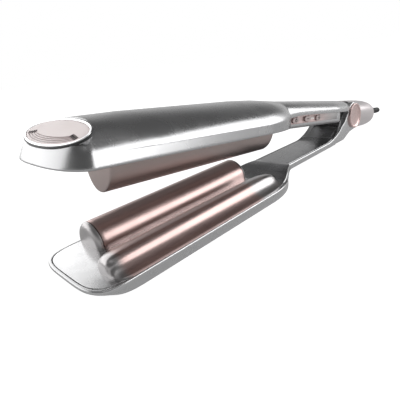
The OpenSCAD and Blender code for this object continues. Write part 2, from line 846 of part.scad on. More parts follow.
module handle_underside() {
    color("darkgray") upper()
        difference() {
            intersection() {
                translate([0, 0, -10])
                    linear_extrude(30)
                        handle_plan();
                across(40)
                    handle_side();
            }
            for (s = [-1, 1])
                translate([handle_x0 - 6, s * under_r, bottom_z(handle_x0 - 6)])
                    rotate([0, atan((bottom_z0 - bottom_z1) / (handle_end - handle_x0)), 0])
                        rotate([45, 0, 0])
                            cube([300, 2.2, 2.2], center = true);
            translate([0, 0, -20])
                linear_extrude(40)
                    translate([seam, 0])
                        base_plan();
            translate([pocket_x0, -pocket_y, pocket_z])
                cube([pocket_l, 2 * pocket_y, 2 * board_h]);
            on_strip(strip_y - 1, strip_back)
                strip_side(slip);
            for (x = button_xs) {
                on_strip(strip_y - 1, button_deep)
                    button_face(x, button_flange + button_gap);
                on_strip(strip_y - 1, -pocket_y + 1)
                    translate([x, (strip_low(x) + part_z(x)) / 2])
                        circle(plunger_r + 4 * slip);
            }
            tongue(slip);
            hinge_cut();
            for (s = [-1, 1])
                translate([pivot_x - ear_reach, s * (ear_in - hinge_gap + hinge_w) - hinge_w, -20])
                    cube([2 * ear_reach, 2 * hinge_w, 40]);
        }
}

module control_strip() {
    color("rosybrown") upper()
        difference() {
            on_strip(strip_y, strip_back)
                strip_side();
            for (x = button_xs)
                on_strip(strip_y - 1, strip_back + 1)
                    button_face(x, button_gap);
            for (x = light_xs)
                on_strip(strip_y - 1, strip_back + 1)
                    translate([x, (strip_low(x) + part_z(x)) / 2])
                        circle(light_r + slip);
        }
}

module button(x) {
    color("dimgray") upper() {
        on_strip(strip_y - button_out, strip_back + slip)
            button_face(x, 0);
        on_strip(strip_back + slip, flange_back)
            button_face(x, button_flange);
    }
}

module indicator_lights() {
    color("white") upper()
        for (x = light_xs)
            on_strip(strip_y, strip_back)
                translate([x, (strip_low(x) + part_z(x)) / 2])
                    circle(light_r);
}

module control_board() {
    color("seagreen") upper()
        translate([pocket_x0 + board_inset, board_y, pocket_z])
            cube([pocket_l - board_inset - button_gap, board_t, board_h]);
}

module tact_switches() {
    color("black") upper()
        for (x = button_xs) {
            z = (strip_low(x) + part_z(x)) / 2;
            translate([x - switch_w / 2, board_y - switch_t + slip, z - switch_w / 2])
                cube([switch_w, switch_t - slip, switch_w]);
            on_strip(button_deep, board_y - switch_t + 2 * slip)
                translate([x, z])
                    circle(plunger_r);
        }
}

// Tongues of the knuckle that lock into handle and rear cap
module tongue(grow = 0) {
    translate([handle_x1 - tongue_lap - grow, -tongue_w / 2 - grow, tongue_z - grow])
        cube([tongue_fore + grow, tongue_w + 2 * grow, tongue_h + 2 * grow]);
    translate([pivot_x, -tongue_w / 2 - grow, pivot_z - rear_tongue_h / 2 - grow])
        cube([tongue_rear + grow, tongue_w + 2 * grow, rear_tongue_h + 2 * grow]);
}

module hinge_knuckle() {
    color("dimgray") upper()
        difference() {
            union() {
                translate([pivot_x, 0, pivot_z])
                    rotate([90, 0, 0])
                        cylinder(r = knuckle_r - slip, h = knuckle_w, center = true);
                tongue();
            }
            translate([pivot_x, 0, pivot_z])
                rotate([90, 0, 0]) {
                    cylinder(r = pin_r + pin_fit, h = 2 * hinge_w, center = true);
                    cylinder(r = spring_r + 2 * wire_r, h = spring_l + 2 * wire_r + 0.4, center = true);
                }
        }
}

// Helical spring round the pin
function coil_ring(a) = let (y = spring_l * (a / (360 * spring_turns) - 0.5))
    [for (i = [0:5]) let (b = 60 * i, r = spring_r + wire_r * cos(b))
        [r * cos(a), y + wire_r * sin(b), r * sin(a)]];
module torsion_spring() {
    color("silver") upper()
        translate([pivot_x, 0, pivot_z])
            loft([for (a = [0:18:360 * spring_turns]) coil_ring(a)]);
}

// Half height and half width of the rear cap
function cap_h(x) = x < cap_x0 ? knuckle_r + 0.9 : bulge(cap_x0 + cap_round - x, cap_round, knuckle_r + 0.9, 2.6);
function cap_w(x) = x < cap_x0 ? hinge_w / 2 : bulge(cap_x0 + cap_round - x, cap_round, hinge_w / 2, 2.6);
function cap_z(x) = pivot_z + (cord_z - pivot_z) * (x - pivot_x) / (rear_x1 - pivot_x);

module rear_cap() {
    color("silver") upper()
        difference() {
            loft([for (x = concat([pivot_x + 3, cap_x0], [for (i = [1:8]) cap_x0 + (rear_x1 - cap_x0)
                * sin(90 * i / 8)]))
                oval(x, cap_w(x), cap_h(x), cap_z(x))]);
            hinge_cut();
            tongue(slip);
            translate([pivot_x + cord_room, 0, cord_z])
                rotate([0, 90, 0])
                    cylinder(r = flange_r + 0.3, h = rear_l - journal_l - cord_room);
            translate([pivot_x + cord_room, 0, cord_z])
                rotate([0, 90, 0])
                    cylinder(r = journal_r + journal_fit, h = rear_l);
        }
}

module cord_collar() {
    color("silver") upper()
        translate([rear_x1, 0, cord_z])
            rotate([0, 90, 0])
                rotate_extrude()
                    polygon([[spigot_r + slip, -journal_l - 0.3 - flange_l], [flange_r, -journal_l - 0.3 - flange_l],
                        [flange_r, -journal_l - 0.3], [journal_r, -journal_l - 0.3], [journal_r, 0.3],
                        [collar_r, 0.3], [collar_r, collar_l - 0.8], [collar_r - 0.8, collar_l],
                        [spigot_r + slip, collar_l]]);
}

// Ribbed sleeve that tapers from the collar outwards, with a spigot inside the collar
module strain_relief() {
    color("black") upper()
        translate([rear_x1 + collar_l, 0, cord_z])
            rotate([0, 90, 0])
                rotate_extrude()
                    polygon(concat([[cord_r, -6], [spigot_r, -6], [spigot_r, 0], [relief_r0, 0]],
                        [for (i = [0:ribs - 1]) for (k = [0:3]) let (z = (i + rib_at[k]) * relief_l / ribs,
                        r = relief_r0 + (relief_r1 - relief_r0) * z / relief_l)
                        [r - (k == 1 || k == 2 ? rib_depth : 0), z]], [[relief_r1, relief_l], [cord_r, relief_l]]));
}

lower_shell();
lower_deck();
neck_cover();
lower_barrel(-1);  // lower_barrel_near
lower_barrel(1);  // lower_barrel_far
front_barrel_caps();
rear_barrel_caps();
lower_heaters();
lower_heater_clips();
lower_thermistor();
lower_screws();
pivot_pin();
pivot_cap(-1);  // pivot_cap_near
pivot_cap(1);  // pivot_cap_far
upper_shell();
upper_base_frame();
tip_pad();
tip_pad_ring();
upper_barrel();
upper_heater();
upper_heater_clip();
upper_thermistor();
thermal_fuse();
upper_screws();
handle_underside();
control_strip();
control_board();
tact_switches();
indicator_lights();
hinge_knuckle();
torsion_spring();
rear_cap();
button(button_xs[0]);  // button_power
button(button_xs[1]);  // button_minus
button(button_xs[2]);  // button_plus
cord_collar();
strain_relief();
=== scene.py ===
"""Deep-wave hair crimper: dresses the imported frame, sets the studio light and the camera."""

import json
import logging
import math
from dataclasses import dataclass, field, replace
from enum import Enum
from functools import partial
from typing import Callable, Sequence

import bmesh
import bpy
from mathutils import Matrix, Vector

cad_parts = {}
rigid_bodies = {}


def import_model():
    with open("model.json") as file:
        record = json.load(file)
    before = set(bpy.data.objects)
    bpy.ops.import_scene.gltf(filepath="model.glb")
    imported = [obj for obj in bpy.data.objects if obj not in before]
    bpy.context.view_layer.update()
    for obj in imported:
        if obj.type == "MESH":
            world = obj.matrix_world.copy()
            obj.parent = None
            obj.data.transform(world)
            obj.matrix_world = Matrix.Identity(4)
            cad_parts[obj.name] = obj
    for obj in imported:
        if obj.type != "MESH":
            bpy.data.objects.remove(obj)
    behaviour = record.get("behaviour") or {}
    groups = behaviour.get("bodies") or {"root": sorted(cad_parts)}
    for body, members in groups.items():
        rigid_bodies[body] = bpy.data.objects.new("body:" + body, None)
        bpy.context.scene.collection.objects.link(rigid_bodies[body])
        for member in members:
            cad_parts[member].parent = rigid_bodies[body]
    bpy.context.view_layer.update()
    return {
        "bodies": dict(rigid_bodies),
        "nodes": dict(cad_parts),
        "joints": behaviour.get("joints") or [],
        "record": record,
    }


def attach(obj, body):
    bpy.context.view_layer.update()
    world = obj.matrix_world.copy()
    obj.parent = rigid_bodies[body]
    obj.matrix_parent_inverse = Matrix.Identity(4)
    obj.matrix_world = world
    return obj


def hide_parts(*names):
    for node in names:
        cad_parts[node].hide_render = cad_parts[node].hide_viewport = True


log = logging.getLogger("crimper")
MM = 0.001
QUARTER = math.pi / 2
SIDES = ((-1, "near"), (1, "far"))
Pair = tuple[float, float]
Point = tuple[float, float, float]
Ring = list[Point]


# ------------------------------------------------------------------ places and curves


@dataclass(frozen=True)
class Arm:
    """Frame of one arm: its own millimetres, turned about the hinge pin into the shared frame."""

    pin_x: float
    pin_z: float
    turn_deg: float
    hinge_x: float = 237.4
    hinge_z: float = 22.5
    mid_x: float = 160.07001455

    def place(self, p: Point) -> Vector:
        """Return a point of the arm in metres of the shared frame.

        Args:
            p: The point in the arm's own millimetres.

        Returns:
            The place.
        """
        a = math.radians(self.turn_deg)
        dx, dz = p[0] - self.pin_x, p[2] - self.pin_z
        x = self.hinge_x - self.mid_x + dx * math.cos(a) + dz * math.sin(a)
        z = self.hinge_z - dx * math.sin(a) + dz * math.cos(a)
        return Vector((x * MM, p[1] * MM, z * MM))

    def matrix(self) -> Matrix:
        """Return the change from the arm's metres to metres of the shared frame.

        Returns:
            The matrix.
        """
        turn = Matrix.Rotation(math.radians(self.turn_deg), 4, "Y")
        there = Matrix.Translation(((self.hinge_x - self.mid_x) * MM, 0, self.hinge_z * MM))
        return there @ turn @ Matrix.Translation((-self.pin_x * MM, 0, -self.pin_z * MM))


LOWER = Arm(pin_x=237.4, pin_z=22.5, turn_deg=0.0)
UPPER = Arm(pin_x=236.1, pin_z=-1.5, turn_deg=7.0)


def limited(value: float, low: float = 0.0, high: float = 1.0) -> float:
    """Return a value kept between two limits."""
    return max(low, min(high, value))


def bulge(x: float, length: float, width: float, n: float) -> float:
    """Return the half width at x of a superellipse end that swells to width over length."""
    return width * max(0.0, 1 - max(0.0, (length - x) / length) ** n) ** (1 / n)


def smooth_curve(points: Sequence[Pair], start: float = 0.0) -> Callable[[float], float]:
    """Return a smooth curve through points that doesn't overshoot between them.

    Args:
        points: Pairs of place and height, in rising order of place.
        start: Where the places are counted from.

    Returns:
        A function from place to height.
    """
    xs, ys = [start + x for x, _ in points], [y for _, y in points]
    steps = [(ys[i + 1] - ys[i]) / (xs[i + 1] - xs[i]) for i in range(len(xs) - 1)]
    inner = [0.0 if a * b <= 0 else 2 * a * b / (a + b) for a, b in zip(steps, steps[1:])]
    slopes = [steps[0]] + inner + [steps[-1]]

    def curve(x: float) -> float:
        """Return the height of the curve at a place.

        Args:
            x: The place.

        Returns:
            The height.
        """
        x = limited(x, xs[0], xs[-1])
        i = max(k for k in range(len(xs) - 1) if xs[k] <= x)
        h = xs[i + 1] - xs[i]
        t = (x - xs[i]) / h
        a, b = ys[i] * (1 + 2 * t) * (1 - t) ** 2, ys[i + 1] * t * t * (3 - 2 * t)
        return a + b + h * t * (1 - t) * (slopes[i] * (1 - t) - slopes[i + 1] * t)

    return curve


def soft_min(a: float, b: float, k: float) -> float:
    """Return the smaller of two heights, rounded where they meet by a radius of about k."""
    h = limited(0.5 + 0.5 * (b - a) / k)
    return b + (a - b) * h - k * h * (1 - h)


def spread(a: float, b: float, n: int) -> list[float]:
    """Return n + 1 even steps from a to b."""
    return [a + (b - a) * i / n for i in range(n + 1)]


def around(n: int) -> list[float]:
    """Return n even angles round a full turn."""
    return spread(0, 2 * math.pi, n)[:-1]


def fillet(corner: Pair, start: Pair, end: Pair, n: int = 4) -> list[Pair]:
    """Return points that round a corner of a profile.

    Args:
        corner: The sharp corner.
        start: Where the rounding begins.
        end: Where it ends.
        n: Number of steps.

    Returns:
        The points from start to end.
    """
    out = []
    for t in spread(0, 1, n):
        a, b, c = (1 - t) ** 2, 2 * t * (1 - t), t * t
        out.append((a * start[0] + b * corner[0] + c * end[0], a * start[1] + b * corner[1] + c * end[1]))
    return out


def mirrored(x: float, half: Sequence[Pair]) -> Ring:
    """Return the section at x whose half starts and ends in the middle plane."""
    return [(x, y, z) for y, z in half] + [(x, -y, z) for y, z in reversed(half[1:-1])]


def two_ended(x0: float, total: float, front: Pair, rear: Pair, w: float, z: float) -> Ring:
    """Return a long level outline with two superellipse ends, as a closed ring.

    Args:
        x0: Place of its front end.
        total: Its length.
        front: Length and exponent of the front rounding.
        rear: Length and exponent of the rear rounding.
        w: Its half width.
        z: Its height.

    Returns:
        The ring.
    """

    def quarter(length: float, n: float) -> list[Pair]:
        """Return one rounded corner, from the apex outwards."""
        turn = spread(0, QUARTER, 40)
        return [(length * (1 - abs(math.cos(a)) ** (2 / n)), w * abs(math.sin(a)) ** (2 / n)) for a in turn]

    side = [(x0 + x, y) for x, y in quarter(*front)]
    side += [(x0 + total - x, y) for x, y in reversed(quarter(*rear))]
    return [(x, y, z) for x, y in side] + [(x, -y, z) for x, y in reversed(side[1:-1])]


# ------------------------------------------------------------------ meshes


@dataclass
class Form:
    """A mesh under construction, in an arm's own millimetres."""

    points: list[Point] = field(default_factory=list)
    faces: list[tuple[int, ...]] = field(default_factory=list)

    def loft(self, rings: Sequence[Ring], closed: bool = False, capped: bool = True) -> "Form":
        """Add a skin through rings.

        Args:
            rings: Rings with the same number of points.
            closed: Whether the last ring joins the first.
            capped: Whether the ends of an open skin get a face.

        Returns:
            The form itself.
        """
        first, n = len(self.points), len(rings[0])
        self.points += [tuple(p) for ring in rings for p in ring]
        made = [range(first + k * n, first + k * n + n) for k in range(len(rings))]
        for a, b in zip(made, made[1:] + made[:1] if closed else made[1:]):
            self.faces += [(a[i], a[(i + 1) % n], b[(i + 1) % n], b[i]) for i in range(n)]
        if capped and not closed:
            self.faces += [tuple(reversed(made[0])), tuple(made[-1])]
        return self

    def revolve(self, profile: Sequence[Pair], origin: Point, axis: Point, up: Point, n: int = 96) -> "Form":
        """Add a turned form.

        Args:
            profile: Pairs of radius and distance along the axis, from the axis or back to the start.
            origin: Foot of the axis.
            axis: Unit direction of the axis.
            up: Unit direction at right angles to the axis.
            n: Number of steps round the axis.

        Returns:
            The form itself.
        """
        o, a, u = Vector(origin), Vector(axis), Vector(up)
        v = a.cross(u)
        spokes = [u * math.cos(t) + v * math.sin(t) for t in around(n)]
        rings = [[tuple(o + a * z + spoke * r) for spoke in spokes] for r, z in profile]
        return self.loft(rings, closed=profile[0][0] > 0 or profile[-1][0] > 0, capped=False)

    def extrude(self, outline: Sequence[Pair], y0: float, y1: float) -> "Form":
        """Add a flat outline of the XZ plane, drawn across the arm from y0 to y1."""
        return self.loft([[(x, y, z) for x, z in outline] for y in (y0, y1)])


def stand(name: str, data: bpy.types.ID) -> bpy.types.Object:
    """Return a new object in the scene that shows some data.

    Args:
        name: Its name.
        data: The mesh, camera or lamp.

    Returns:
        The object.
    """
    obj = bpy.data.objects.new(name, data)
    bpy.context.scene.collection.objects.link(obj)
    return obj


def tidy(mesh: bpy.types.Mesh, sharp_deg: float, dissolve: bool = False) -> None:
    """Merge doubles, turn normals outwards and shade the mesh smooth between its sharp edges.

    Args:
        mesh: The mesh to mend.
        sharp_deg: Edges that bend more than this stay crisp.
        dissolve: Whether flat neighbours are joined to one face.
    """
    bm = bmesh.new()
    bm.from_mesh(mesh)
    bmesh.ops.remove_doubles(bm, verts=bm.verts, dist=2e-6)
    bmesh.ops.dissolve_degenerate(bm, edges=bm.edges, dist=1e-7)
    if dissolve:
        bmesh.ops.dissolve_limit(bm, angle_limit=math.radians(1), verts=bm.verts, edges=bm.edges)
    bmesh.ops.recalc_face_normals(bm, faces=bm.faces)
    bm.to_mesh(mesh)
    bm.free()
    mesh.shade_smooth()
    mesh.set_sharp_from_angle(angle=math.radians(sharp_deg))


def settle(obj: bpy.types.Object) -> None:
    """Turn an object's live modifiers into one plain mesh.

    Args:
        obj: The object, which keeps its name.
    """
    depsgraph = bpy.context.evaluated_depsgraph_get()
    depsgraph.update()
    made = bpy.data.meshes.new_from_object(obj.evaluated_get(depsgraph))
    obj.modifiers.clear()
    obj.data = made


def soften(obj: bpy.types.Object, width: float, limit_deg: float = 35, segments: int = 3) -> None:
    """Round the crisp edges of a piece with a bevel.

    Args:
        obj: The piece.
        width: Width of the bevel in millimetres.
        limit_deg: Edges that bend more than this are rounded.
        segments: Steps in the rounding.
    """
    bevel = obj.modifiers.new("edges", "BEVEL")
    bevel.width, bevel.segments = width * MM, segments
    bevel.limit_method, bevel.angle_limit = "ANGLE", math.radians(limit_deg)
    settle(obj)
    tidy(obj.data, 50)


# ------------------------------------------------------------------ node trees


class Wire:
    """An output socket that can be used in sums."""

    def __init__(self, kit: "Shade", socket: bpy.types.NodeSocket | None) -> None:
        """Hold a socket of a node tree."""
        self.kit, self.socket = kit, socket

    def _op(self, how: str, *values: "Wire | float") -> "Wire":
        """Return a Math node on one or two values."""
        return self.kit.node("ShaderNodeMath", dict(enumerate(values)), operation=how)

    def __add__(self, other: "Wire | float") -> "Wire":
        """Return self + other."""
        return self._op("ADD", self, other)

    def __sub__(self, other: "Wire | float") -> "Wire":
        """Return self - other."""
        return self._op("SUBTRACT", self, other)

    def __rsub__(self, other: float) -> "Wire":
        """Return other - self."""
        return self._op("SUBTRACT", other, self)

    def __mul__(self, other: "Wire | float") -> "Wire":
        """Return self * other."""
        return self._op("MULTIPLY", self, other)

    def wave(self, how: str) -> "Wire":
        """Return the SINE or COSINE of the value."""
        return self._op(how, self)

    def bounded(self) -> "Wire":
        """Return the value kept between 0 and 1."""
        return self.kit.node("ShaderNodeClamp", {0: self, 1: 0.0, 2: 1.0})

    def step(self, low: float, high: float, to_low: float = 0.0, to_high: float = 1.0) -> "Wire":
        """Return a smooth step from one value to another as self goes from low to high."""
        values = {0: self, 1: low, 2: high, 3: to_low, 4: to_high}
        return self.kit.node("ShaderNodeMapRange", values, interpolation_type="SMOOTHSTEP")


class Shade:
    """Builds a node tree with few words."""

    def __init__(self, tree: bpy.types.NodeTree) -> None:
        """Take over a tree and empty it."""
        self.tree = tree
        tree.nodes.clear()

    def node(self, kind: str, values: dict | None = None, out: int | str = 0, **settings: str) -> Wire:
        """Add a node.

        Args:
            kind: Type name of the node.
            values: Inputs by name or number, each a value or a wire.
            out: The output to return.
            settings: Attributes to set on it.

        Returns:
            The chosen output as a wire.
        """
        made = self.tree.nodes.new(kind)
        for key, value in settings.items():
            setattr(made, key, value)
        for key, value in (values or {}).items():
            if isinstance(value, Wire):
                self.tree.links.new(value.socket, made.inputs[key])
            else:
                made.inputs[key].default_value = value
        return Wire(self, made.outputs[out] if made.outputs else None)

    def scaled(self, value: Wire, color: Wire | Point) -> Wire:
        """Return a colour times a value."""
        return self.node("ShaderNodeVectorMath", {0: color, 3: value}, operation="SCALE")

    def place(self, scale: Point = (1, 1, 1), turn_y_deg: float = 0.0) -> Wire:
        """Return object coordinates, stretched and turned."""
        where = self.node("ShaderNodeTexCoord", out="Object")
        return self.node("ShaderNodeMapping", {0: where, 2: (0.0, math.radians(turn_y_deg), 0.0), 3: scale})

    def noise(self, place: Wire, scale: float, detail: float = 3.0, rough: float = 0.55) -> Wire:
        """Return a noise value around 0.5."""
        values = {"Vector": place, "Scale": scale, "Detail": detail, "Roughness": rough}
        return self.node("ShaderNodeTexNoise", values)

    def ray(self, kind: str) -> Wire:
        """Return 1 for rays of one kind and 0 for others."""
        return self.node("ShaderNodeLightPath", out=f"Is {kind} Ray")


class Pattern(Shade):
    """A Geometry Nodes tree that repeats a small form, with named inputs for its sizes."""

    def __init__(self, name: str, sizes: dict[str, float | int]) -> None:
        """Start a tree.

        Args:
            name: Its name.
            sizes: Its inputs with their values; lengths are in metres.
        """
        super().__init__(bpy.data.node_groups.new(name, "GeometryNodeTree"))
        face = self.tree.interface
        face.new_socket("Geometry", in_out="OUTPUT", socket_type="NodeSocketGeometry")
        self.sizes = {}
        for key, value in sizes.items():
            kind = "NodeSocketInt" if isinstance(value, int) else "NodeSocketFloat"
            self.sizes[face.new_socket(key, in_out="INPUT", socket_type=kind).identifier] = value
        self.source = self.tree.nodes.new("NodeGroupInput")

    def size(self, key: str) -> Wire:
        """Return one of the tree's inputs."""
        return Wire(self, self.source.outputs[key])

    def vector(self, x: Wire | float, y: Wire | float, z: Wire | float) -> Wire:
        """Return a vector of three values."""
        return self.node("ShaderNodeCombineXYZ", {0: x, 1: y, 2: z})

    def row(self, step: Wire | float) -> Wire:
        """Return as many points as the Count input says, in a row along X."""
        values = {"Count": self.size("Count"), "Offset": self.vector(step, 0.0, 0.0)}
        return self.node("GeometryNodeMeshLine", values, mode="OFFSET")

    def index(self) -> Wire:
        """Return the number of each point."""
        return self.node("GeometryNodeInputIndex")

    def circle(self, radius: Wire, steps: int) -> Wire:
        """Return a round curve."""
        values = {"Resolution": steps, "Radius": radius}
        return self.node("GeometryNodeCurvePrimitiveCircle", values, mode="RADIUS")

    def tube(self, path: Wire, profile: Wire) -> Wire:
        """Return a profile swept along a curve, with closed ends."""
        values = {"Curve": path, "Profile Curve": profile, "Fill Caps": True}
        return self.node("GeometryNodeCurveToMesh", values)

    def finish(self, points: Wire, form: Wire, scale: Wire, turn: Wire | Point = (0.0, 0.0, 0.0)) -> None:
        """Set the form on every point, make it real and end the tree.

        Args:
            points: Where the copies stand.
            form: The form that is repeated.
            scale: Size of each copy.
            turn: Rotation of each copy.
        """
        values = {"Points": points, "Instance": form, "Scale": scale, "Rotation": turn}
        made = self.node("GeometryNodeInstanceOnPoints", values)
        made = self.node("GeometryNodeRealizeInstances", {0: made})
        made = self.node("GeometryNodeSetMaterial", {"Geometry": made})
        self.coat = made.socket.node
        self.node("NodeGroupOutput", {0: made})

    def grow(self, name: str, arm: Arm, root: Point, material: bpy.types.Material,
             lean_deg: float = 0.0) -> bpy.types.Object:
        """Turn the tree into a plain mesh object.

        Args:
            name: Name of the object.
            arm: The arm whose frame it is in.
            root: Where the tree's origin stands, in the arm's millimetres.
            material: Its material.
            lean_deg: Turn about Y, from the arm's X axis upwards.

        Returns:
            The object, with its place in the mesh.
        """
        self.coat.inputs["Material"].default_value = material
        obj = stand(name, bpy.data.meshes.new(name))
        grower = obj.modifiers.new("grow", "NODES")
        grower.node_group = self.tree
        for identifier, value in self.sizes.items():
            grower[identifier] = value
        settle(obj)
        lean = Matrix.Rotation(math.radians(-lean_deg), 4, "Y")
        obj.data.transform(arm.matrix() @ Matrix.Translation(Vector(root) * MM) @ lean)
        tidy(obj.data, 50)
        return obj


# ------------------------------------------------------------------ finishes


class Grain(Enum):
    """Kinds of fine surface texture: stretch of the coordinates, then scale, detail and roughness."""

    PEARL = ((1, 1, 1), 5200.0, 2.0, 0.7)
    BRUSHED = ((20, 1500, 1500), 1.0, 3.0, 0.65)
    TURNED = ((1500, 1500, 300), 1.0, 2.0, 0.5)
    MOULDED = ((1, 1, 1), 2600.0, 4.0, 0.6)


@dataclass(frozen=True)
class Finish:
    """A surface finish with its wear."""

    name: str
    slot: str
    color: Point
    metallic: float = 0.0
    roughness: float = 0.4
    mottle: float = 0.06
    smudge: float = 0.08
    grain: Grain = Grain.MOULDED
    relief_um: float = 4.0
    coat: float = 0.0
    turn_y_deg: float = 0.0

    def tint(self, kit: Shade, place: Wire) -> Wire:
        """Return the base colour, with slow and fine variation."""
        slow, fine = kit.noise(place, 28.0, 2.0), kit.noise(place, 900.0, 3.0, 0.6)
        return kit.scaled((slow - 0.5) * (2 * self.mottle) + (fine - 0.5) * self.mottle + 1.0, self.color)

    def make(self) -> bpy.types.Material:
        """Build the material, with its colour, gloss and bump, and return it.

        Returns:
            The material.
        """
        material = bpy.data.materials.new(self.name)
        material.use_nodes = True
        kit = Shade(material.node_tree)
        place, (stretch, *fine) = kit.place(), self.grain.value
        drawn = self.grain in (Grain.BRUSHED, Grain.TURNED)
        texture = kit.noise(kit.place(stretch, self.turn_y_deg if drawn else 0.0), *fine)
        rub = kit.noise(place, 75.0, 4.0, 0.6).step(0.42, 0.68)
        rough = (texture - 0.5) * self.smudge + rub * self.smudge + (self.roughness - self.smudge / 4)
        relief = {"Strength": 1.0, "Distance": self.relief_um * 1e-6, "Height": texture}
        bump = kit.node("ShaderNodeBump", relief)
        shader = kit.node("ShaderNodeBsdfPrincipled", {
            "Base Color": self.tint(kit, place), "Roughness": rough.bounded(), "Metallic": self.metallic,
            "Normal": bump, "Coat Weight": self.coat, "Coat Roughness": 0.12})
        kit.node("ShaderNodeOutputMaterial", {"Surface": shader})
        return material


@dataclass(frozen=True)
class FadeFinish(Finish):
    """A finish whose colour changes softly along the arm."""

    other: Point = (0.6, 0.6, 0.6)
    start_m: float = 0.0
    end_m: float = 0.01

    def tint(self, kit: Shade, place: Wire) -> Wire:
        """Return the base colour, which changes from other to color between two places.

        Args:
            kit: The material's tree.
            place: Object coordinates.

        Returns:
            The colour.
        """
        along = kit.node("ShaderNodeSeparateXYZ", {0: kit.node("ShaderNodeTexCoord", out="Object")}, out=0)
        drift = (kit.noise(place, 60.0, 2.0) - 0.5) * 0.003
        share = (along + drift).step(self.start_m, self.end_m)
        level = (kit.noise(place, 28.0, 2.0) - 0.5) * (2 * self.mottle) + 1.0
        colors = {0: share, 6: (*self.other, 1.0), 7: (*self.color, 1.0)}
        return kit.scaled(level, kit.node("ShaderNodeMix", colors, out=2, data_type="RGBA"))


def fade(name: str, color: Point, other: Point, start: float, end: float) -> FadeFinish:
    """Return barrel metal that fades from other to color between two places of the lower arm."""
    return FadeFinish(name, "rose_metal", color, 1.0, 0.33, 0.02, 0.03, Grain.BRUSHED, 0.12, other=other,
                      start_m=(start - LOWER.mid_x) * MM, end_m=(end - LOWER.mid_x) * MM)


SATIN = Finish("satin_silver_shell", "satin_silver", (0.42, 0.42, 0.425), metallic=0.97, roughness=0.27,
               mottle=0.03, smudge=0.04, grain=Grain.PEARL, relief_um=3.0)
TRAY = replace(SATIN, name="satin_silver_tray", color=(0.52, 0.52, 0.525))
UNDER = replace(SATIN, name="handle_under_grey", color=(0.45, 0.45, 0.455), metallic=0.95, roughness=0.36,
                smudge=0.06)
REAR = replace(UNDER, name="rear_cap_satin", color=(0.6, 0.56, 0.565), metallic=0.92, roughness=0.3)
COVER = replace(SATIN, name="neck_cover_grey", slot="deck_grey", color=(0.37, 0.37, 0.375), metallic=0.95,
                roughness=0.26, relief_um=2.0, coat=0.3)
DECK = replace(COVER, name="deck_lacquer", color=(0.56, 0.56, 0.565))
ROSE = Finish("barrel_rose", "rose_metal", (0.49, 0.365, 0.345), metallic=1.0, roughness=0.32, mottle=0.02,
              smudge=0.03, grain=Grain.BRUSHED, relief_um=0.12)
# The barrel's rose metal made darker and greyer for the upper barrel: painted shade for its downward-facing
# flanks.
ROSE_UP_SHADED = replace(ROSE, name="upper_barrel_rose", color=(0.4, 0.335, 0.32), roughness=0.4, turn_y_deg=7.0)
CAP = Finish("end_cap_silver", "end_silver", (0.46, 0.445, 0.445), metallic=1.0, roughness=0.34, mottle=0.03,
             smudge=0.07, grain=Grain.PEARL, relief_um=1.0)
FRONT_FADE = fade("near_barrel_rose", ROSE.color, CAP.color, 14.0, 18.0)
REAR_FADE = fade("near_barrel_tail", CAP.color, ROSE.color, 97.5, 102.5)
TRIM = Finish("rose_trim", "rose_trim", (0.62, 0.47, 0.45), metallic=0.85, roughness=0.28, mottle=0.03,
              smudge=0.06, grain=Grain.PEARL, relief_um=1.5, coat=0.3)
STRIP = FadeFinish("strip_rose_to_grey", "rose_trim", (0.5, 0.49, 0.49), metallic=0.9, roughness=0.3,
                   mottle=0.03, smudge=0.06, grain=Grain.PEARL, relief_um=1.5, other=(0.62, 0.49, 0.475),
                   start_m=0.012, end_m=0.045)
PAD = Finish("thumb_pad_pink", "pad_pink", (0.95, 0.815, 0.795), mottle=0.012, smudge=0.06, relief_um=2.0,
             coat=0.2)
# Pad ridges in dark rose: painted shade standing for the shade along each ridge.
SHADED_RIDGE = replace(PAD, name="pad_ridge_pink", color=(0.42, 0.31, 0.31), mottle=0.02)
RING = Finish("pad_ring_bright", "ring_chrome", (0.86, 0.86, 0.87), metallic=1.0, roughness=0.14, mottle=0.02,
              smudge=0.05, grain=Grain.PEARL, relief_um=0.6)
BUTTON = Finish("button_rose", "button_dark", (0.52, 0.44, 0.43), metallic=0.7, roughness=0.32, mottle=0.05,
                smudge=0.06, relief_um=2.0)
# Dark print on the buttons; also used as painted shade at the ends of the pad's ridges.
PRINT_AND_SHADE = Finish("print_dark", "black_plastic", (0.03, 0.02, 0.02), roughness=0.45, mottle=0.03, smudge=0.05)
# Dark nylon of the hinge knuckle; also used for the painted shadow line round the pad's ring.
NYLON_AND_SHADE = Finish("hinge_nylon", "hinge_dark", (0.028, 0.028, 0.03), roughness=0.52, mottle=0.1, smudge=0.1,
               relief_um=14.0)
STEEL = Finish("ground_steel", "steel", (0.56, 0.56, 0.58), metallic=1.0, roughness=0.3, grain=Grain.TURNED,
               relief_um=2.0)
FOIL = Finish("heater_foil", "heater", (0.6, 0.6, 0.58), metallic=0.3, relief_um=20.0)
LEAF = Finish("spring_leaf", "spring_brass", (0.58, 0.42, 0.18), metallic=1.0, roughness=0.35,
              grain=Grain.BRUSHED)
BEAD = Finish("sensor_bead", "sensor", (0.55, 0.2, 0.05), roughness=0.15, coat=0.5)
BOARD = Finish("board_epoxy", "board", (0.01, 0.1, 0.04), coat=0.3, relief_um=15.0)
BLACK = Finish("black_moulding", "black_plastic", (0.012, 0.012, 0.012), roughness=0.5, relief_um=8.0)
LIGHT = Finish("light_pipe", "light", (0.82, 0.82, 0.8), roughness=0.25, mottle=0.02, coat=0.4)
RUBBER = Finish("relief_elastomer", "rubber_black", (0.016, 0.016, 0.017), roughness=0.48, mottle=0.12,
                smudge=0.12, relief_um=10.0)


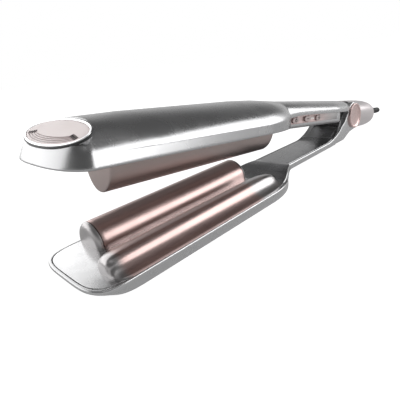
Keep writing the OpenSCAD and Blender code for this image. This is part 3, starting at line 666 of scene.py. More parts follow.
@dataclass
class Workshop:
    """Makes pieces, gives them their finish and hands them to the frame."""

    frame: dict
    paints: dict[str, bpy.types.Material] = field(default_factory=dict)

    def piece(self, body: str, name: str, form: Form, finish: Finish, node: str = "", sharp_deg: float = 38,
              bevel: float = 0) -> None:
        """Make a piece from a form, in the frame of the arm that its body belongs to.

        Args:
            body: The body that it rides on.
            name: Name of the piece.
            form: Its points and faces.
            finish: Its finish.
            node: CAD node that it replaces, if any.
            sharp_deg: Edges that bend more than this stay crisp.
            bevel: Width of the rounding of crisp edges, in millimetres.
        """
        arm = LOWER if body == "lower_arm" else UPPER
        mesh = bpy.data.meshes.new(name)
        mesh.from_pydata([arm.place(p) for p in form.points], [], form.faces)
        tidy(mesh, sharp_deg)
        obj = stand(name, mesh)
        if bevel:
            soften(obj, bevel)
        self.hand_over(obj, body, finish, node)

    def recast(self, body: str, node: str, finish: Finish, bevel: float = 0) -> None:
        """Make a merged copy of a CAD node with rounded edges, which replaces it.

        Args:
            body: The body that it rides on.
            node: Name of the node.
            finish: Its finish.
            bevel: Width of the rounding, in millimetres.
        """
        mesh = self.frame["nodes"][node].data.copy()
        mesh.materials.clear()
        tidy(mesh, 30, dissolve=True)
        obj = stand(node + "_cast", mesh)
        if bevel:
            soften(obj, bevel, limit_deg=28, segments=2)
        self.hand_over(obj, body, finish, node)

    def hand_over(self, obj: bpy.types.Object, body: str, finish: Finish, node: str = "") -> None:
        """Give a finished mesh its material and its body.

        Args:
            obj: The piece.
            body: The body that it rides on.
            finish: Its finish.
            node: CAD node that it replaces, if any.
        """
        obj.data.materials.clear()
        obj.data.materials.append(self.paint(finish))
        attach(obj, body)
        if node:
            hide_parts(node)
        log.info("%s on %s: %d faces", obj.name, body, len(obj.data.polygons))

    def dress(self, node: str, finish: Finish) -> None:
        """Give a carried-over CAD node its finish.

        Args:
            node: Name of the node.
            finish: Its finish.
        """
        obj = self.frame["nodes"][node]
        if not obj.material_slots:
            obj.data.materials.append(None)
        for holder in obj.material_slots:
            holder.link = "OBJECT"
            holder.material = self.paint(finish)
        log.info("%s dressed in %s", node, finish.name)

    def paint(self, finish: Finish) -> bpy.types.Material:
        """Return the material of a finish, made once.

        Args:
            finish: The finish.

        Returns:
            Its material.
        """
        if finish.name not in self.paints:
            self.paints[finish.name] = finish.make()
        return self.paints[finish.name]


# ------------------------------------------------------------------ lower arm


@dataclass
class LowerArm:
    """Tray, deck, neck and ears."""

    shop: Workshop
    width: float = 52.3
    height: float = 6.0
    length: float = 142.5
    tip_l: float = 20.0
    heel_l: float = 34.0
    tip_lift: float = 7.0
    rim: float = 1.3
    deck_gap: float = 0.32
    neck_half: float = 14.0
    neck_z: float = 10.8
    neck_x0: float = 124.5
    neck_x1: float = 195.4
    slot_x1: float = 204.4
    slot_z: float = 2.4
    flank_z: float = 7.5
    keel_z: float = 3.55
    web_z: float = 17.5
    ear_t: float = 4.5
    ear_foot_z: float = 7.4
    disc_r: float = 10.6
    cap_r: float = 9.6

    def __post_init__(self) -> None:
        """Draw the upper and the lower edge of the neck along the arm."""
        x0, x1, h, z = self.neck_x0, self.neck_x1, self.height, self.neck_z
        self.top = smooth_curve([
            (x0 - 7, h - 0.4), (x0 - 2, h - 0.05), (x0 + 4, h + 0.9), (x0 + 9, h + 2.9), (x0 + 14, z - 0.6),
            (x0 + 20, z), (x1, z), (x1 + 9, z + 1.5), (x1 + 17, z + 4.6), (x1 + 24, z + 8.8),
            (x1 + 31, z + 11.5)])
        self.low = smooth_curve([
            (x0, 0.6), (x0 + 6, 0.8), (x0 + 12, 2.2), (x0 + 32, 3.6), (x1, 3.6), (x1 + 16, 5.2),
            (x1 + 29, 9.5), (x1 + 38, 12.7)])

    def plan(self, inset: float, z: float, back: float = 0.0) -> Ring:
        """Return the tray's outline at one height.

        Args:
            inset: How far it lies inside the full outline.
            z: Its height.
            back: How far its tip is drawn back, as a share of the tip's lift.

        Returns:
            The outline.
        """
        start = max(inset, back * self.tip_lift)
        return two_ended(start, self.length - start - inset, (self.tip_l - inset / 2, 4.2),
                         (self.heel_l - inset / 2, 2.3), self.width / 2 - inset, z)

    def tray(self) -> Form:
        """Return the tray: a dish with a rounded rim and a tucked underside.

        Returns:
            The form.
        """
        h, rim = self.height, self.rim
        levels = [(rim, h - 1.6), (rim, h - 0.25)] + fillet((rim, h), (rim, h - 0.22), (rim - 0.25, h))[1:]
        levels += fillet((0, h), (0.9, h), (0, h - 0.9), 7)
        levels += [(0, 4.6), (0.02, 3.9, 0.12), (0.08, 3.0, 0.32), (0.16, 2.0, 0.58), (0.3, 1.3, 0.74),
                   (0.5, 0.75, 0.86), (0.78, 0.3, 0.96), (1.2, 0.05, 1.05), (1.7, 0.0, 1.15)]
        return Form().loft([self.plan(*level) for level in levels])

    def deck(self) -> Form:
        """Return the deck plate with its rounded edge.

        Returns:
            The form.
        """
        inset, h = self.rim + self.deck_gap, self.height
        levels = [(inset, h - 1.5), (inset, h - 0.3)]
        levels += fillet((inset, h), (inset, h - 0.25), (inset + 0.25, h))[1:]
        return Form().loft([self.plan(*level) for level in levels])

    def neck_ring(self, x: float, slot: float) -> Ring:
        """Return the neck's section at one place: a rim on each side, straight flanks and a shallow keel.

        Args:
            x: The place.
            slot: Depth of the slot for the cover.

        Returns:
            The section.
        """
        top, low, r, rim = self.top(x), self.low(x), self.neck_half, self.rim
        flank = min(max(self.flank_z, low), top - 1.0)
        half = [(0.0, top - slot), (r - rim, top - slot), (r - rim, top - min(slot, 0.2))]
        half += [(r - rim + 0.2, top)] + fillet((r, top), (r - 0.9, top), (r, top - 0.9), 6) + [(r, flank)]
        for share, z in ((0.985, 7.1), (0.94, 6.75), (0.84, 6.1), (0.72, 5.4), (0.43, 4.1), (0.2, 3.6)):
            half.append((share * r, min(max(z, low), flank - 0.02)))
        return mirrored(x, half + [(0.0, min(max(self.keel_z, low), flank - 0.03))])

    def neck(self) -> Form:
        """Return the neck, from the tray's heel to the web between the ears.

        Returns:
            The form.
        """
        xs = spread(self.neck_x0 + 14, self.neck_x0 + 34, 20) + spread(self.neck_x0 + 38, self.neck_x1 - 2, 8)
        rings = [self.neck_ring(x, self.slot_z) for x in xs + spread(self.neck_x1, self.slot_x1, 9)]
        return Form().loft(rings + [self.neck_ring(self.slot_x1 + d, 0.0) for d in (0.02, 1)])

    def web(self) -> Form:
        """Return the web between the ears, up to the knuckle.

        Returns:
            The form.
        """
        pin_x, pin_z, reach = LOWER.hinge_x, LOWER.hinge_z, self.disc_r + 0.4
        half = self.neck_half - self.ear_t + 0.1
        rings = []
        for x in spread(self.slot_x1 + 0.5, self.slot_x1 + 20.5, 10):
            high, low = min(self.top(x), self.web_z) - 0.03, self.low(x) + 0.05
            ring = []
            for y, z in ((-half, high), (half, high), (half, low), (-half, low)):
                ring.append((min(x, pin_x - math.sqrt(max(0.0, reach ** 2 - (z - pin_z) ** 2))), y, z))
            rings.append(ring)
        return Form().loft(rings)

    def ear(self, side: int) -> Form:
        """Return one ear: a disc round the pin with a gusset down to the neck.

        Args:
            side: -1 for the near ear and 1 for the far one.

        Returns:
            The ear.
        """
        foot, x0 = self.ear_foot_z, self.slot_x1 - 1
        pin_x, pin_z, r = LOWER.hinge_x, LOWER.hinge_z, self.disc_r
        turn = spread(math.radians(160), math.radians(-80), 60)
        under = spread(self.neck_x1 + 34, self.neck_x1 + 18, 16)
        outline = [(x, self.top(x) - 0.02) for x in spread(x0, self.neck_x1 + 26, 26)]
        outline += [(pin_x + r * math.cos(a), pin_z + r * math.sin(a)) for a in turn]
        outline += [(x, max(self.low(x), foot) + 0.02) for x in under]
        outline += [(self.neck_x1 + 14, foot + 0.02), (x0, foot + 0.1)]
        return Form().extrude(outline, side * (self.neck_half - self.ear_t), side * (self.neck_half - 0.01))

    def cover(self) -> Form:
        """Return the cover strip on top of the neck.

        Returns:
            The form.
        """
        half = self.neck_half - self.rim - 0.25
        rings = []
        for x in spread(self.neck_x0 + 15, self.slot_x1 - 0.2, 60):
            z = self.top(x) - 0.12
            rings.append([(x, -half, z - 1.5), (x, half, z - 1.5), (x, half, z - 0.2), (x, half - 0.2, z),
                          (x, 0.0, z + 0.1), (x, -half + 0.2, z), (x, -half, z - 0.2)])
        return Form().loft(rings)

    def shoulders(self) -> Form:
        """Return the shoulders that widen the neck into the heel of the tray.

        Returns:
            The form.
        """
        x0, edge = self.neck_x0, 1.3
        wide = smooth_curve([(-7, 22.6), (0, 22.0), (4, 20.9), (9, 19.3), (14, 16.7), (20, 14.1),
                             (25, 13.6)], x0)
        foot = smooth_curve([(-7, 4.5), (0, 2.0), (4, 2.0), (9, 4.0), (14, 5.5), (25, 7.8)], x0)
        sink = smooth_curve([(-7, 0.0), (17, 0.02), (20, 0.15), (25, 1.2)], x0)
        rings = []
        for x in spread(x0 - 7, x0 + 25, 44):
            w, z, low = wide(x), self.top(x) - sink(x) + 0.05, foot(x)
            turn = min(edge, (z - low) / 2)
            side = fillet((w, z), (w - turn, z), (w, z - turn), 6) + [(w, low + 0.3), (w - 0.3, low)]
            rings.append(mirrored(x, [(0.0, z)] + side + [(0.0, low)]))
        return Form().loft(rings)

    def heaters(self) -> Form:
        """Return the two heater plates under the barrels.

        Returns:
            The form.
        """
        form = Form()
        for x0, x1, y0, y1 in ((42.0, 101.0, -18.4, -9.7), (43.5, 82.0, 9.7, 20.7)):
            form.loft([[(x0, y0, z), (x1, y0, z), (x1, y1, z), (x0, y1, z)] for z in (7.2, 10.2)])
        return form

    def pivot_cap(self, side: int) -> Form:
        """Return one dished pivot cap with its raised ring.

        Args:
            side: -1 for the near cap and 1 for the far one.

        Returns:
            The cap.
        """
        r = self.cap_r
        profile = [(0, 0), (r, 0)] + fillet((r, 1.6), (r, 1.1), (r - 0.5, 1.6))
        profile += fillet((r - 1.1, 1.6), (r - 0.8, 1.6), (r - 1.35, 1.2))
        profile += fillet((r - 1.9, 0.7), (r - 1.6, 1.0), (r - 2.6, 0.62), 6)
        dish = (0.62, 0.5, 0.38, 0.26, 0.14, 0)
        profile += [(share * r, 0.12 + 0.75 * share ** 2) for share in dish]
        origin = (LOWER.hinge_x, side * self.neck_half, LOWER.hinge_z)
        return Form().revolve(profile, origin, (0, side, 0), (1, 0, 0))

    def build(self) -> None:
        """Build and dress every piece of the lower arm."""
        add = partial(self.shop.piece, "lower_arm")
        add("tray_shell", self.tray(), TRAY, "lower_shell")
        add("deck_plate", self.deck(), DECK, "lower_deck")
        add("neck_beam", self.neck(), TRAY, sharp_deg=42)
        add("neck_shoulders", self.shoulders(), COVER, sharp_deg=50)
        add("heater_plates", self.heaters(), FOIL, "lower_heaters", bevel=0.4)
        add("neck_web", self.web(), TRAY)
        add("neck_strip", self.cover(), COVER, "neck_cover")
        for side, word in SIDES:
            add("ear_" + word, self.ear(side), TRAY, bevel=0.5)
            add("pivot_disc_" + word, self.pivot_cap(side), TRIM, "pivot_cap_" + word)


@dataclass
class LowerBarrel:
    """One heated half-round barrel on the tray, with its two end caps."""

    shop: Workshop
    word: str
    side: int
    x0: float
    length: float
    cap: float
    tail: float
    h: float = 10.5
    r: float = 10.5
    foot: float = 0.8
    y: float = 15.2
    floor: float = 6.0
    seam: float = 0.4
    crest: float = 0.0
    long_cap: float = 5.0

    def section(self) -> list[Pair]:
        """Return the arched section from its far foot to its near one, as pairs of place across and height.

        Returns:
            The section.
        """
        far = [(self.r * math.cos(a), self.h * math.sin(a)) for a in spread(0, QUARTER, 36)]
        if not self.crest:
            return far + [(-y, z) for y, z in reversed(far[:-1])]
        c, end = self.crest, math.radians(66)
        near = [(-c * math.sin(a), self.h - c * (1 - math.cos(a))) for a in spread(0, end, 18)][1:]
        y, z = near[-1]
        return far + near + fillet((y - 1.2, z - 1.2 * math.tan(end)), (y, z), (-self.r + 0.5, 0.1), 18)[1:]

    def ring(self, x: float, r: float) -> Ring:
        """Return the barrel's section at one place, scaled to a radius.

        Args:
            x: The place.
            r: The radius.

        Returns:
            The ring.
        """
        y0, k = self.side * self.y, r / self.r
        arc = [(x, y0 + k * y, self.floor + self.foot + k * z) for y, z in self.section()]
        return [(x, arc[0][1], self.floor)] + arc + [(x, arc[-1][1], self.floor)]

    def tube(self) -> Form:
        """Return the heated barrel, with a slight rounding at its cut ends.

        Returns:
            The form.
        """
        x1 = self.x0 + self.length
        ends = [(0.0, -0.25), (0.06, -0.08), (0.25, 0.0)] if self.seam else [(0.0, 0.0)]
        rings = [self.ring(self.x0 + d, self.r + e) for d, e in ends]
        rings += [self.ring(x, self.r) for x in spread(self.x0 + 2, x1 - 2, 16)]
        return Form().loft(rings + [self.ring(x1 - d, self.r + e) for d, e in reversed(ends)])

    def dome(self, start: float, reach: float, way: int) -> Form:
        """Return one end cap, drawn out where it reaches far and nearly flat where it doesn't.

        Args:
            start: Place of its flat face.
            reach: How far it swells beyond that.
            way: 1 towards the hinge and -1 towards the tip.

        Returns:
            The cap.
        """
        r, drop = self.r, 1.5 * reach
        if reach > self.long_cap:
            turn = spread(0, QUARTER, 26)
            steps = [(reach * math.sin(a) ** 0.5, r * abs(math.cos(a)) ** 0.5) for a in turn]
        else:
            turn = spread(0.1, QUARTER, 7)
            steps = [(0.0, r)] + [(reach * math.sin(a), r - drop * (1 - math.cos(a))) for a in turn]
            steps += [(reach + 0.25 * (1 - t), (r - drop) * t) for t in (0.8, 0.55, 0.3, 0.0)]
        return Form().loft([self.ring(start + way * d, size) for d, size in steps])

    def build(self, rose: Finish, front: Finish, rear: Finish) -> None:
        """Build the barrel and its caps.

        Args:
            rose: Finish of the barrel.
            front: Finish of the cap at the tip.
            rear: Finish of the cap at the hinge end.
        """
        add, word = partial(self.shop.piece, "lower_arm"), self.word
        add("barrel_" + word, self.tube(), rose, "lower_barrel_" + word)
        x0, x1 = self.x0 - self.seam, self.x0 + self.length + self.seam
        ends = (("front", front, x0, self.cap, -1), ("rear", rear, x1, self.tail, 1))
        for end, finish, start, reach, way in ends:
            node = end + "_barrel_caps" if self.side < 0 else ""
            add(f"{end}_cap_{word}", self.dome(start, reach, way), finish, node)


# ------------------------------------------------------------------ upper arm


class Mark(Enum):
    """Marks on the buttons, in their order from the housing."""

    POWER = 0
    MINUS = 1
    PLUS = 2


@dataclass
class UpperArm:
    """Housing, handle, barrel and rear cap."""

    shop: Workshop
    head_w: float = 56.8
    head_l: float = 146.0
    head_h: float = 16.0
    nose_l: float = 9.0
    nose_lip: float = 0.6
    shoulder_l: float = 40.0
    crown_fall: float = 0.052
    dome_h: float = 1.2
    dome_foot: float = 2.0
    base_h: float = 4.8
    parting_rise: float = 0.7
    parting_fall: float = 0.042
    flare_l: float = 1.7
    flare_w: float = 0.045
    slope_z: float = 6.8
    slope_k: float = 0.62
    slope_x1: float = 22.0
    slope_soft: float = 0.9
    pad_s: float = 8.8
    pad_u: float = 8.2
    pad_v: float = 26.6
    pivot_x: float = 236.1
    pivot_z: float = -1.5
    up_r: float = 11.4
    up_depth: float = 16.1
    up_x0: float = 22.6
    up_l: float = 111.0
    up_tilt_deg: float = 1.0
    handle_r: float = 17.3
    handle_end_r: float = 14.6
    handle_x0: float = 139.0
    handle_x1: float = 206.1
    handle_end: float = 228.1
    disc_r: float = 11.0
    rear_l: float = 51.9
    rear_straight: float = 14.0
    rear_w: float = 14.0
    rear_h: float = 11.5
    rear_drop: float = 1.9
    rear_oval: float = 2 / 2.3
    button_y: float = -16.78

    def half_width(self, x: float) -> float:
        """Return the half width of the arm's outline at one place.

        Args:
            x: The place.

        Returns:
            The half width.
        """
        wide, narrow, lip = self.head_w / 2, self.handle_r, self.nose_lip
        if x > self.handle_x1:
            share = (x - self.handle_x1) / (self.handle_end - self.handle_x1)
            narrow += (self.handle_end_r - self.handle_r) * share
        if x < self.nose_l:
            return bulge(x + lip, self.nose_l + lip, wide, 2.5)
        if x < self.head_l - self.shoulder_l:
            return wide
        return max(bulge(self.head_l - x, self.shoulder_l, wide, 2.3), narrow)

    def parting(self, x: float) -> float:
        """Return the height of the shell's lower edge at one place."""
        way = x - self.handle_x0
        return self.base_h + self.parting_rise * limited(way / 12) - self.parting_fall * max(0.0, way - 20)

    def flare(self, p: Point) -> Point:
        """Return a point of the housing, drawn in towards the top round the nose.

        Args:
            p: The point.

        Returns:
            The moved point.
        """
        x, y, z = p
        amount = (limited(z, 1.0, 9.0) - 1.0) * limited(1 - x / 48) ** 1.5
        spill = (1 - limited(z, 0.0, 8.0) / 8) * max(0.0, 1 - x / 34)
        x, y = x - self.flare_l * spill * max(0.0, 1 - x / 16), y * (1 + self.flare_w * spill)
        pinch = 0.3 * amount / 26 * min(1.0, 0.3 + x / 12)
        return (x + 0.17 * amount * max(0.0, 1 - x / 20), y * (1 - pinch), z)

    def clear(self, p: Point) -> Point:
        """Return a point of the shell, drawn forward out of the hinge's round."""
        limit = self.pivot_x - math.sqrt(max(0.0, self.disc_r ** 2 - (p[2] - self.pivot_z) ** 2))
        return (min(p[0], limit), p[1], p[2])

    def shell_ring(self, x: float, inset: float = 0.0) -> Ring:
        """Return the shell's arched section at one place, cut by the sloped nose face.

        Args:
            x: The place.
            inset: How far the section is drawn in.

        Returns:
            The section.
        """
        dome = limited(min((self.head_l - x) / self.shoulder_l, (x - 6) / 30))
        crown = self.head_h - self.crown_fall * max(0.0, x - self.head_l + 24) + self.dome_h * dome
        w, z0, n, m = max(self.half_width(x), 0.02), self.parting(x), 2.5 - 0.5 * dome, 96
        foot, wide = z0 - self.dome_foot * dome, 1 + 0.0115 * dome
        ring = [(x, w, z0)]
        for i in range(1, m):
            a = math.pi * i / m
            y = math.copysign(min(w, wide * w * abs(math.cos(a)) ** (2 / n)), math.cos(a))
            z = max(foot + (crown - foot) * math.sin(a) ** (2 / n), z0 + 0.04)
            if x < self.slope_x1:
                z = soft_min(z, self.slope_z + self.slope_k * x, self.slope_soft)
            ring.append((x, y, max(z, z0 + 0.04)))
        ring.append((x, -w, z0))
        return [(px, py * (1 - inset / 15), pz - inset * (pz - 5) / 10) for px, py, pz in ring]

    def shell(self) -> Form:
        """Return the upper shell, from the nose to the hinge.

        Returns:
            The form.
        """
        nose, x1, end = self.nose_l + self.nose_lip, self.head_l - self.shoulder_l, self.handle_end
        xs = [nose * (1 - math.cos(a)) - self.nose_lip for a in spread(0.02, QUARTER, 34)]
        xs += spread(self.nose_l + 0.25, 20, 44) + spread(22, x1, 24)[1:]
        xs += [x1 + (self.shoulder_l - 7) * math.sin(a) for a in spread(0, QUARTER, 34)[1:]]
        xs += spread(self.handle_x0 + 0.5, self.head_l + 12, 20) + spread(self.head_l + 16, end - 0.5, 18)
        rings = [self.shell_ring(x) for x in xs]
        rings += [self.shell_ring(end - 0.15, 0.12), self.shell_ring(end, 0.5)]
        return Form().loft([[self.flare(self.clear(p)) for p in ring] for ring in rings])

    def base(self) -> Form:
        """Return the base frame round the barrel's opening.

        Returns:
            The form.
        """
        lip, w, top = self.nose_lip, self.head_w / 2, self.base_h

        def plan(inset: float, z: float) -> Ring:
            """Return the frame's outline at one height."""
            return two_ended(inset - lip, self.head_l + lip - 2 * inset, (self.nose_l + lip, 2.5),
                             (self.shoulder_l, 2.3), w - inset, z)

        x0, x1, r = self.up_x0 - 0.4, self.up_x0 + self.up_l + 0.4, self.up_r + 0.4
        hole = [(limited(x, x0, x1), limited(y, -r, r)) for x, y, _ in plan(0, 0)]
        levels = [(1.6, top)] + [(0, z) for z in (top, 4.0, 3.2, 2.4, 1.6, 1.0)]
        levels += fillet((0, 0), (0, 0.8), (0.8, 0), 5)
        rings = [[self.flare(p) for p in plan(*level)] for level in levels]
        return Form().loft(rings + [[(x, y, z) for x, y in hole] for z in (0.0, 2.0, top)], closed=True)

    def slope_point(self, u: float, v: float, lift: float) -> Point:
        """Return the point u up the nose's slope from the pad's middle, v across it and lift over it."""
        a, s = math.atan(self.slope_k), u + self.pad_s
        return (s * math.cos(a) - lift * math.sin(a), v, self.slope_z + s * math.sin(a) + lift * math.cos(a))

    def oval(self, grow: float, lift: float, share: float = 1.0) -> Ring:
        """Return the pad's oval outline, grown, scaled and lifted over the slope."""
        u, v = (self.pad_u + grow) * share, (self.pad_v + grow) * share
        return [self.slope_point(u * math.cos(t), v * math.sin(t), lift) for t in around(128)]

    def pad(self) -> Form:
        """Return the thumb pad, slightly dished towards its middle.

        Returns:
            The form.
        """
        rings = [self.oval(-1.15, -1.0), self.oval(-1.15, 0.12), self.oval(-1.3, 0.22), self.oval(-1.7, 0.26)]
        for share in (0.85, 0.7, 0.55, 0.4, 0.25, 0.1):
            rings.append(self.oval(-1.7, 0.26 - 0.12 * (1 - share ** 2), share))
        return Form().loft(rings)

    def pad_ring(self) -> Form:
        """Return the bright ring round the pad.

        Returns:
            The form.
        """
        profile = [(0.0, -1.0), (0.0, 0.12)] + fillet((0, 0.42), (0, 0.15), (-0.4, 0.4))
        profile += fillet((-1.05, 0.4), (-0.7, 0.4), (-1.05, 0.1)) + [(-1.05, -1.0)]
        return Form().loft([self.oval(*place) for place in profile], closed=True)

    def shadow_line(self) -> Form:
        """Return a thin dark band round the bright ring: a painted shadow line."""
        profile = [(0.45, -0.8), (0.45, 0.02), (0.35, 0.07), (0.1, 0.07), (-0.05, -0.1), (-0.05, -0.8)]
        return Form().loft([self.oval(*place) for place in profile], closed=True)

    def ridge_tree(self, name: str, sizes: dict[str, float]) -> tuple[Pattern, Wire, Wire]:
        """Start a tree for something that each of the concentric ridges on the pad has.

        Args:
            name: Its name.
            sizes: Its inputs beside the ridges' own sizes.

        Returns:
            The tree, and how large each ridge is across and along the first one.
        """
        tree = Pattern(name, {"Count": 4, "Half Length": 23.0 * MM, "Half Width": 5.9 * MM, "Step": 0.16,
                              "Step Long": 0.075} | sizes)
        return tree, 1.0 - tree.index() * tree.size("Step"), 1.0 - tree.index() * tree.size("Step Long")

    def ridges(self) -> Pattern:
        """Return the tree of concentric ridges on the thumb pad's lower half.

        Returns:
            The tree.
        """
        sizes = {"Bead": 0.24 * MM, "Start": math.radians(112), "Sweep": math.radians(136)}
        tree, inner, shorter = self.ridge_tree("pad_ridges", sizes)
        values = {"Resolution": 96, "Radius": 1.0, "Start Angle": tree.size("Start"),
                  "Sweep Angle": tree.size("Sweep")}
        arc = tree.node("GeometryNodeCurveArc", values, mode="RADIUS")
        scale = tree.vector(tree.size("Half Width"), tree.size("Half Length"), 1.0)
        oval = tree.node("GeometryNodeTransform", {"Geometry": arc, "Scale": scale})
        form = tree.tube(oval, tree.circle(tree.size("Bead"), 10))
        tree.finish(tree.row(0.0), form, tree.vector(inner, shorter, 1.0))
        return tree

    def ridge_end_shade(self, side: int) -> Pattern:
        """Return the tree of dark dashes at one end of the ridges: painted shade where the ridges end.

        Args:
            side: -1 for the near end and 1 for the far one.

        Returns:
            The tree.
        """
        sizes = {"Dash": 1.5 * MM, "Thin": 0.3, "Angle": side * math.radians(112)}
        tree, inner, shorter = self.ridge_tree("ridge_dashes", sizes)
        values = {"Segments": 20, "Rings": 12, "Radius": tree.size("Dash")}
        ball = tree.node("GeometryNodeMeshUVSphere", values)
        angle, thin = tree.size("Angle"), tree.size("Thin")
        where = tree.vector(inner * angle.wave("COSINE") * tree.size("Half Width"),
                            shorter * angle.wave("SINE") * tree.size("Half Length"), 0.0)
        spots = tree.node("GeometryNodeSetPosition", {"Geometry": tree.row(0.0), "Position": where})
        tree.finish(spots, ball, tree.vector(0.7, thin, thin * 0.7), (0.0, 0.0, side * 0.5))
        return tree

    def mark(self, kind: Mark) -> Form:
        """Return the mark on a button's face.

        Args:
            kind: Which mark it is.

        Returns:
            The form.
        """
        x0 = self.handle_x0 + 9 + 14 * kind.value
        z0 = (0.9 - 0.03 * (x0 - self.handle_x0) + self.parting(x0)) / 2
        form, face = Form(), (self.button_y, self.button_y - 0.12)

        def bar(z: float, w: float, h: float) -> None:
            """Add one bar of the mark."""
            corners = ((-w, -h), (w, -h), (w, h), (-w, h))
            form.extrude([(x0 + a / 2, z0 + z + b / 2) for a, b in corners], *face)

        if kind is Mark.POWER:
            bar(0.75, 0.42, 0.95)
            turn = [math.radians(a) for a in spread(125, 415, 28)]
            arcs = [[(x0 + r * math.cos(a), z0 + r * math.sin(a)) for a in turn] for r in (1.12, 0.72)]
            form.extrude(arcs[0] + arcs[1][::-1], *face)
        else:
            bar(0, 2.2, 0.46)
        if kind is Mark.PLUS:
            bar(0.73, 0.46, 1.0)
            bar(-0.73, 0.46, 1.0)
        return form

    def barrel_ring(self, x: float, shrink: float = 0.0) -> Ring:
        """Return the upper barrel's section at one place.

        Args:
            x: The place.
            shrink: How far it lies inside the full section.

        Returns:
            The section.
        """
        tilt = (x - self.up_x0) * math.tan(math.radians(self.up_tilt_deg))
        w, h, top = self.up_r - shrink, self.up_depth - shrink, 1.5
        turn = spread(math.pi, 2 * math.pi, 80)
        arc = [(x, w * math.cos(a), min(h * math.sin(a) + tilt, top)) for a in turn]
        return [(x, -w, top)] + arc + [(x, w, top)]

    def barrel(self) -> Form:
        """Return the upper barrel with rounded ends.

        Returns:
            The form.
        """
        x0, x1 = self.up_x0, self.up_x0 + self.up_l
        front = [(0.0, 0.9), (0.08, 0.55), (0.25, 0.28), (0.5, 0.1), (0.9, 0.0)]
        rear = [(2.2, 0.0), (1.5, 0.15), (0.9, 0.5), (0.45, 1.0), (0.15, 1.7), (0.0, 2.4)]
        rings = [self.barrel_ring(x0 + d, s) for d, s in front]
        rings += [self.barrel_ring(x) for x in spread(x0 + 3, x1 - 4, 14)]
        return Form().loft(rings + [self.barrel_ring(x1 - d, s) for d, s in rear])

    def rear_ring(self, x: float, grow: float = 0.0) -> Ring:
        """Return the rear cap's oval section, which starts round the hinge.

        Args:
            x: The place along the cap, before the hinge's round pushes it back.
            grow: How far the section is grown.

        Returns:
            The section.
        """
        pivot, x0, x1 = self.pivot_x, self.pivot_x + 3, self.pivot_x + self.rear_l
        taper, reach, ring = pivot + self.rear_straight, self.rear_l - self.rear_straight + 1.3, []
        for a in around(96):
            px = x
            for _ in range(3):
                share = 1.0 if px < taper else bulge(taper + reach - px, reach, 1.0, 3.4)
                w, h = self.rear_w * share + grow, self.rear_h * share + grow
                y = math.copysign(w * abs(math.cos(a)) ** self.rear_oval, math.cos(a))
                z = self.pivot_z - self.rear_drop * (px - pivot) / self.rear_l
                z += math.copysign(h * abs(math.sin(a)) ** self.rear_oval, math.sin(a))
                start = pivot + math.sqrt(max(9.0, self.disc_r ** 2 - (z - self.pivot_z) ** 2))
                px = start + (x - x0) * (x1 - start) / (x1 - x0)
            ring.append((px, y, z))
        return ring

    def rear(self) -> Form:
        """Return the rear cap, tapered to the cord outlet.

        Returns:
            The form.
        """
        x0, x1 = self.pivot_x + 3, self.pivot_x + self.rear_l
        places = [(x0, -0.35), (x0 + 0.1, -0.1), (x0 + 0.4, 0.0)]
        places += [(x0 + 0.4 + (x1 - x0 - 0.8) * math.sin(a), 0.0) for a in spread(0.05, QUARTER, 30)]
        return Form().loft([self.rear_ring(*place) for place in places + [(x1 - 0.15, -0.08), (x1, -0.4)]])

    def build(self) -> None:
        """Build and dress every piece of the upper arm."""
        shop, body = self.shop, "upper_arm"
        add, recast = partial(shop.piece, body), partial(shop.recast, body)
        add("housing_shell", self.shell(), SATIN, "upper_shell", sharp_deg=45)
        add("housing_base", self.base(), SATIN, "upper_base_frame")
        add("thumb_pad", self.pad(), PAD, "tip_pad")
        add("thumb_pad_ring", self.pad_ring(), RING, "tip_pad_ring")
        # Painted shadow line: a thin dark band round the pad's ring.
        add("thumb_pad_joint", self.shadow_line(), NYLON_AND_SHADE)
        middle, lean = self.slope_point(0.0, 0.0, 0.2), math.degrees(math.atan(self.slope_k))
        # The ridges' dark colour and the dark dashes at their ends are painted shade.
        trees = (("pad_ridges", self.ridges(), SHADED_RIDGE), ("ridge_ends_near", self.ridge_end_shade(-1), PRINT_AND_SHADE),
                 ("ridge_ends_far", self.ridge_end_shade(1), PRINT_AND_SHADE))
        for name, tree, finish in trees:
            shop.hand_over(tree.grow(name, UPPER, middle, shop.paint(finish), lean), body, finish)
        # The upper barrel's darker rose is painted shade.
        add("barrel_upper", self.barrel(), ROSE_UP_SHADED, "upper_barrel")
        add("rear_cap_shell", self.rear(), REAR, "rear_cap", sharp_deg=45)
        for kind in Mark:
            word = kind.name.lower()
            shop.piece("button_" + word, "mark_" + word, self.mark(kind), PRINT_AND_SHADE)
        recast("handle_underside", UNDER, 0.7)
        recast("control_strip", STRIP, 0.15)
        recast("hinge_knuckle", NYLON_AND_SHADE)


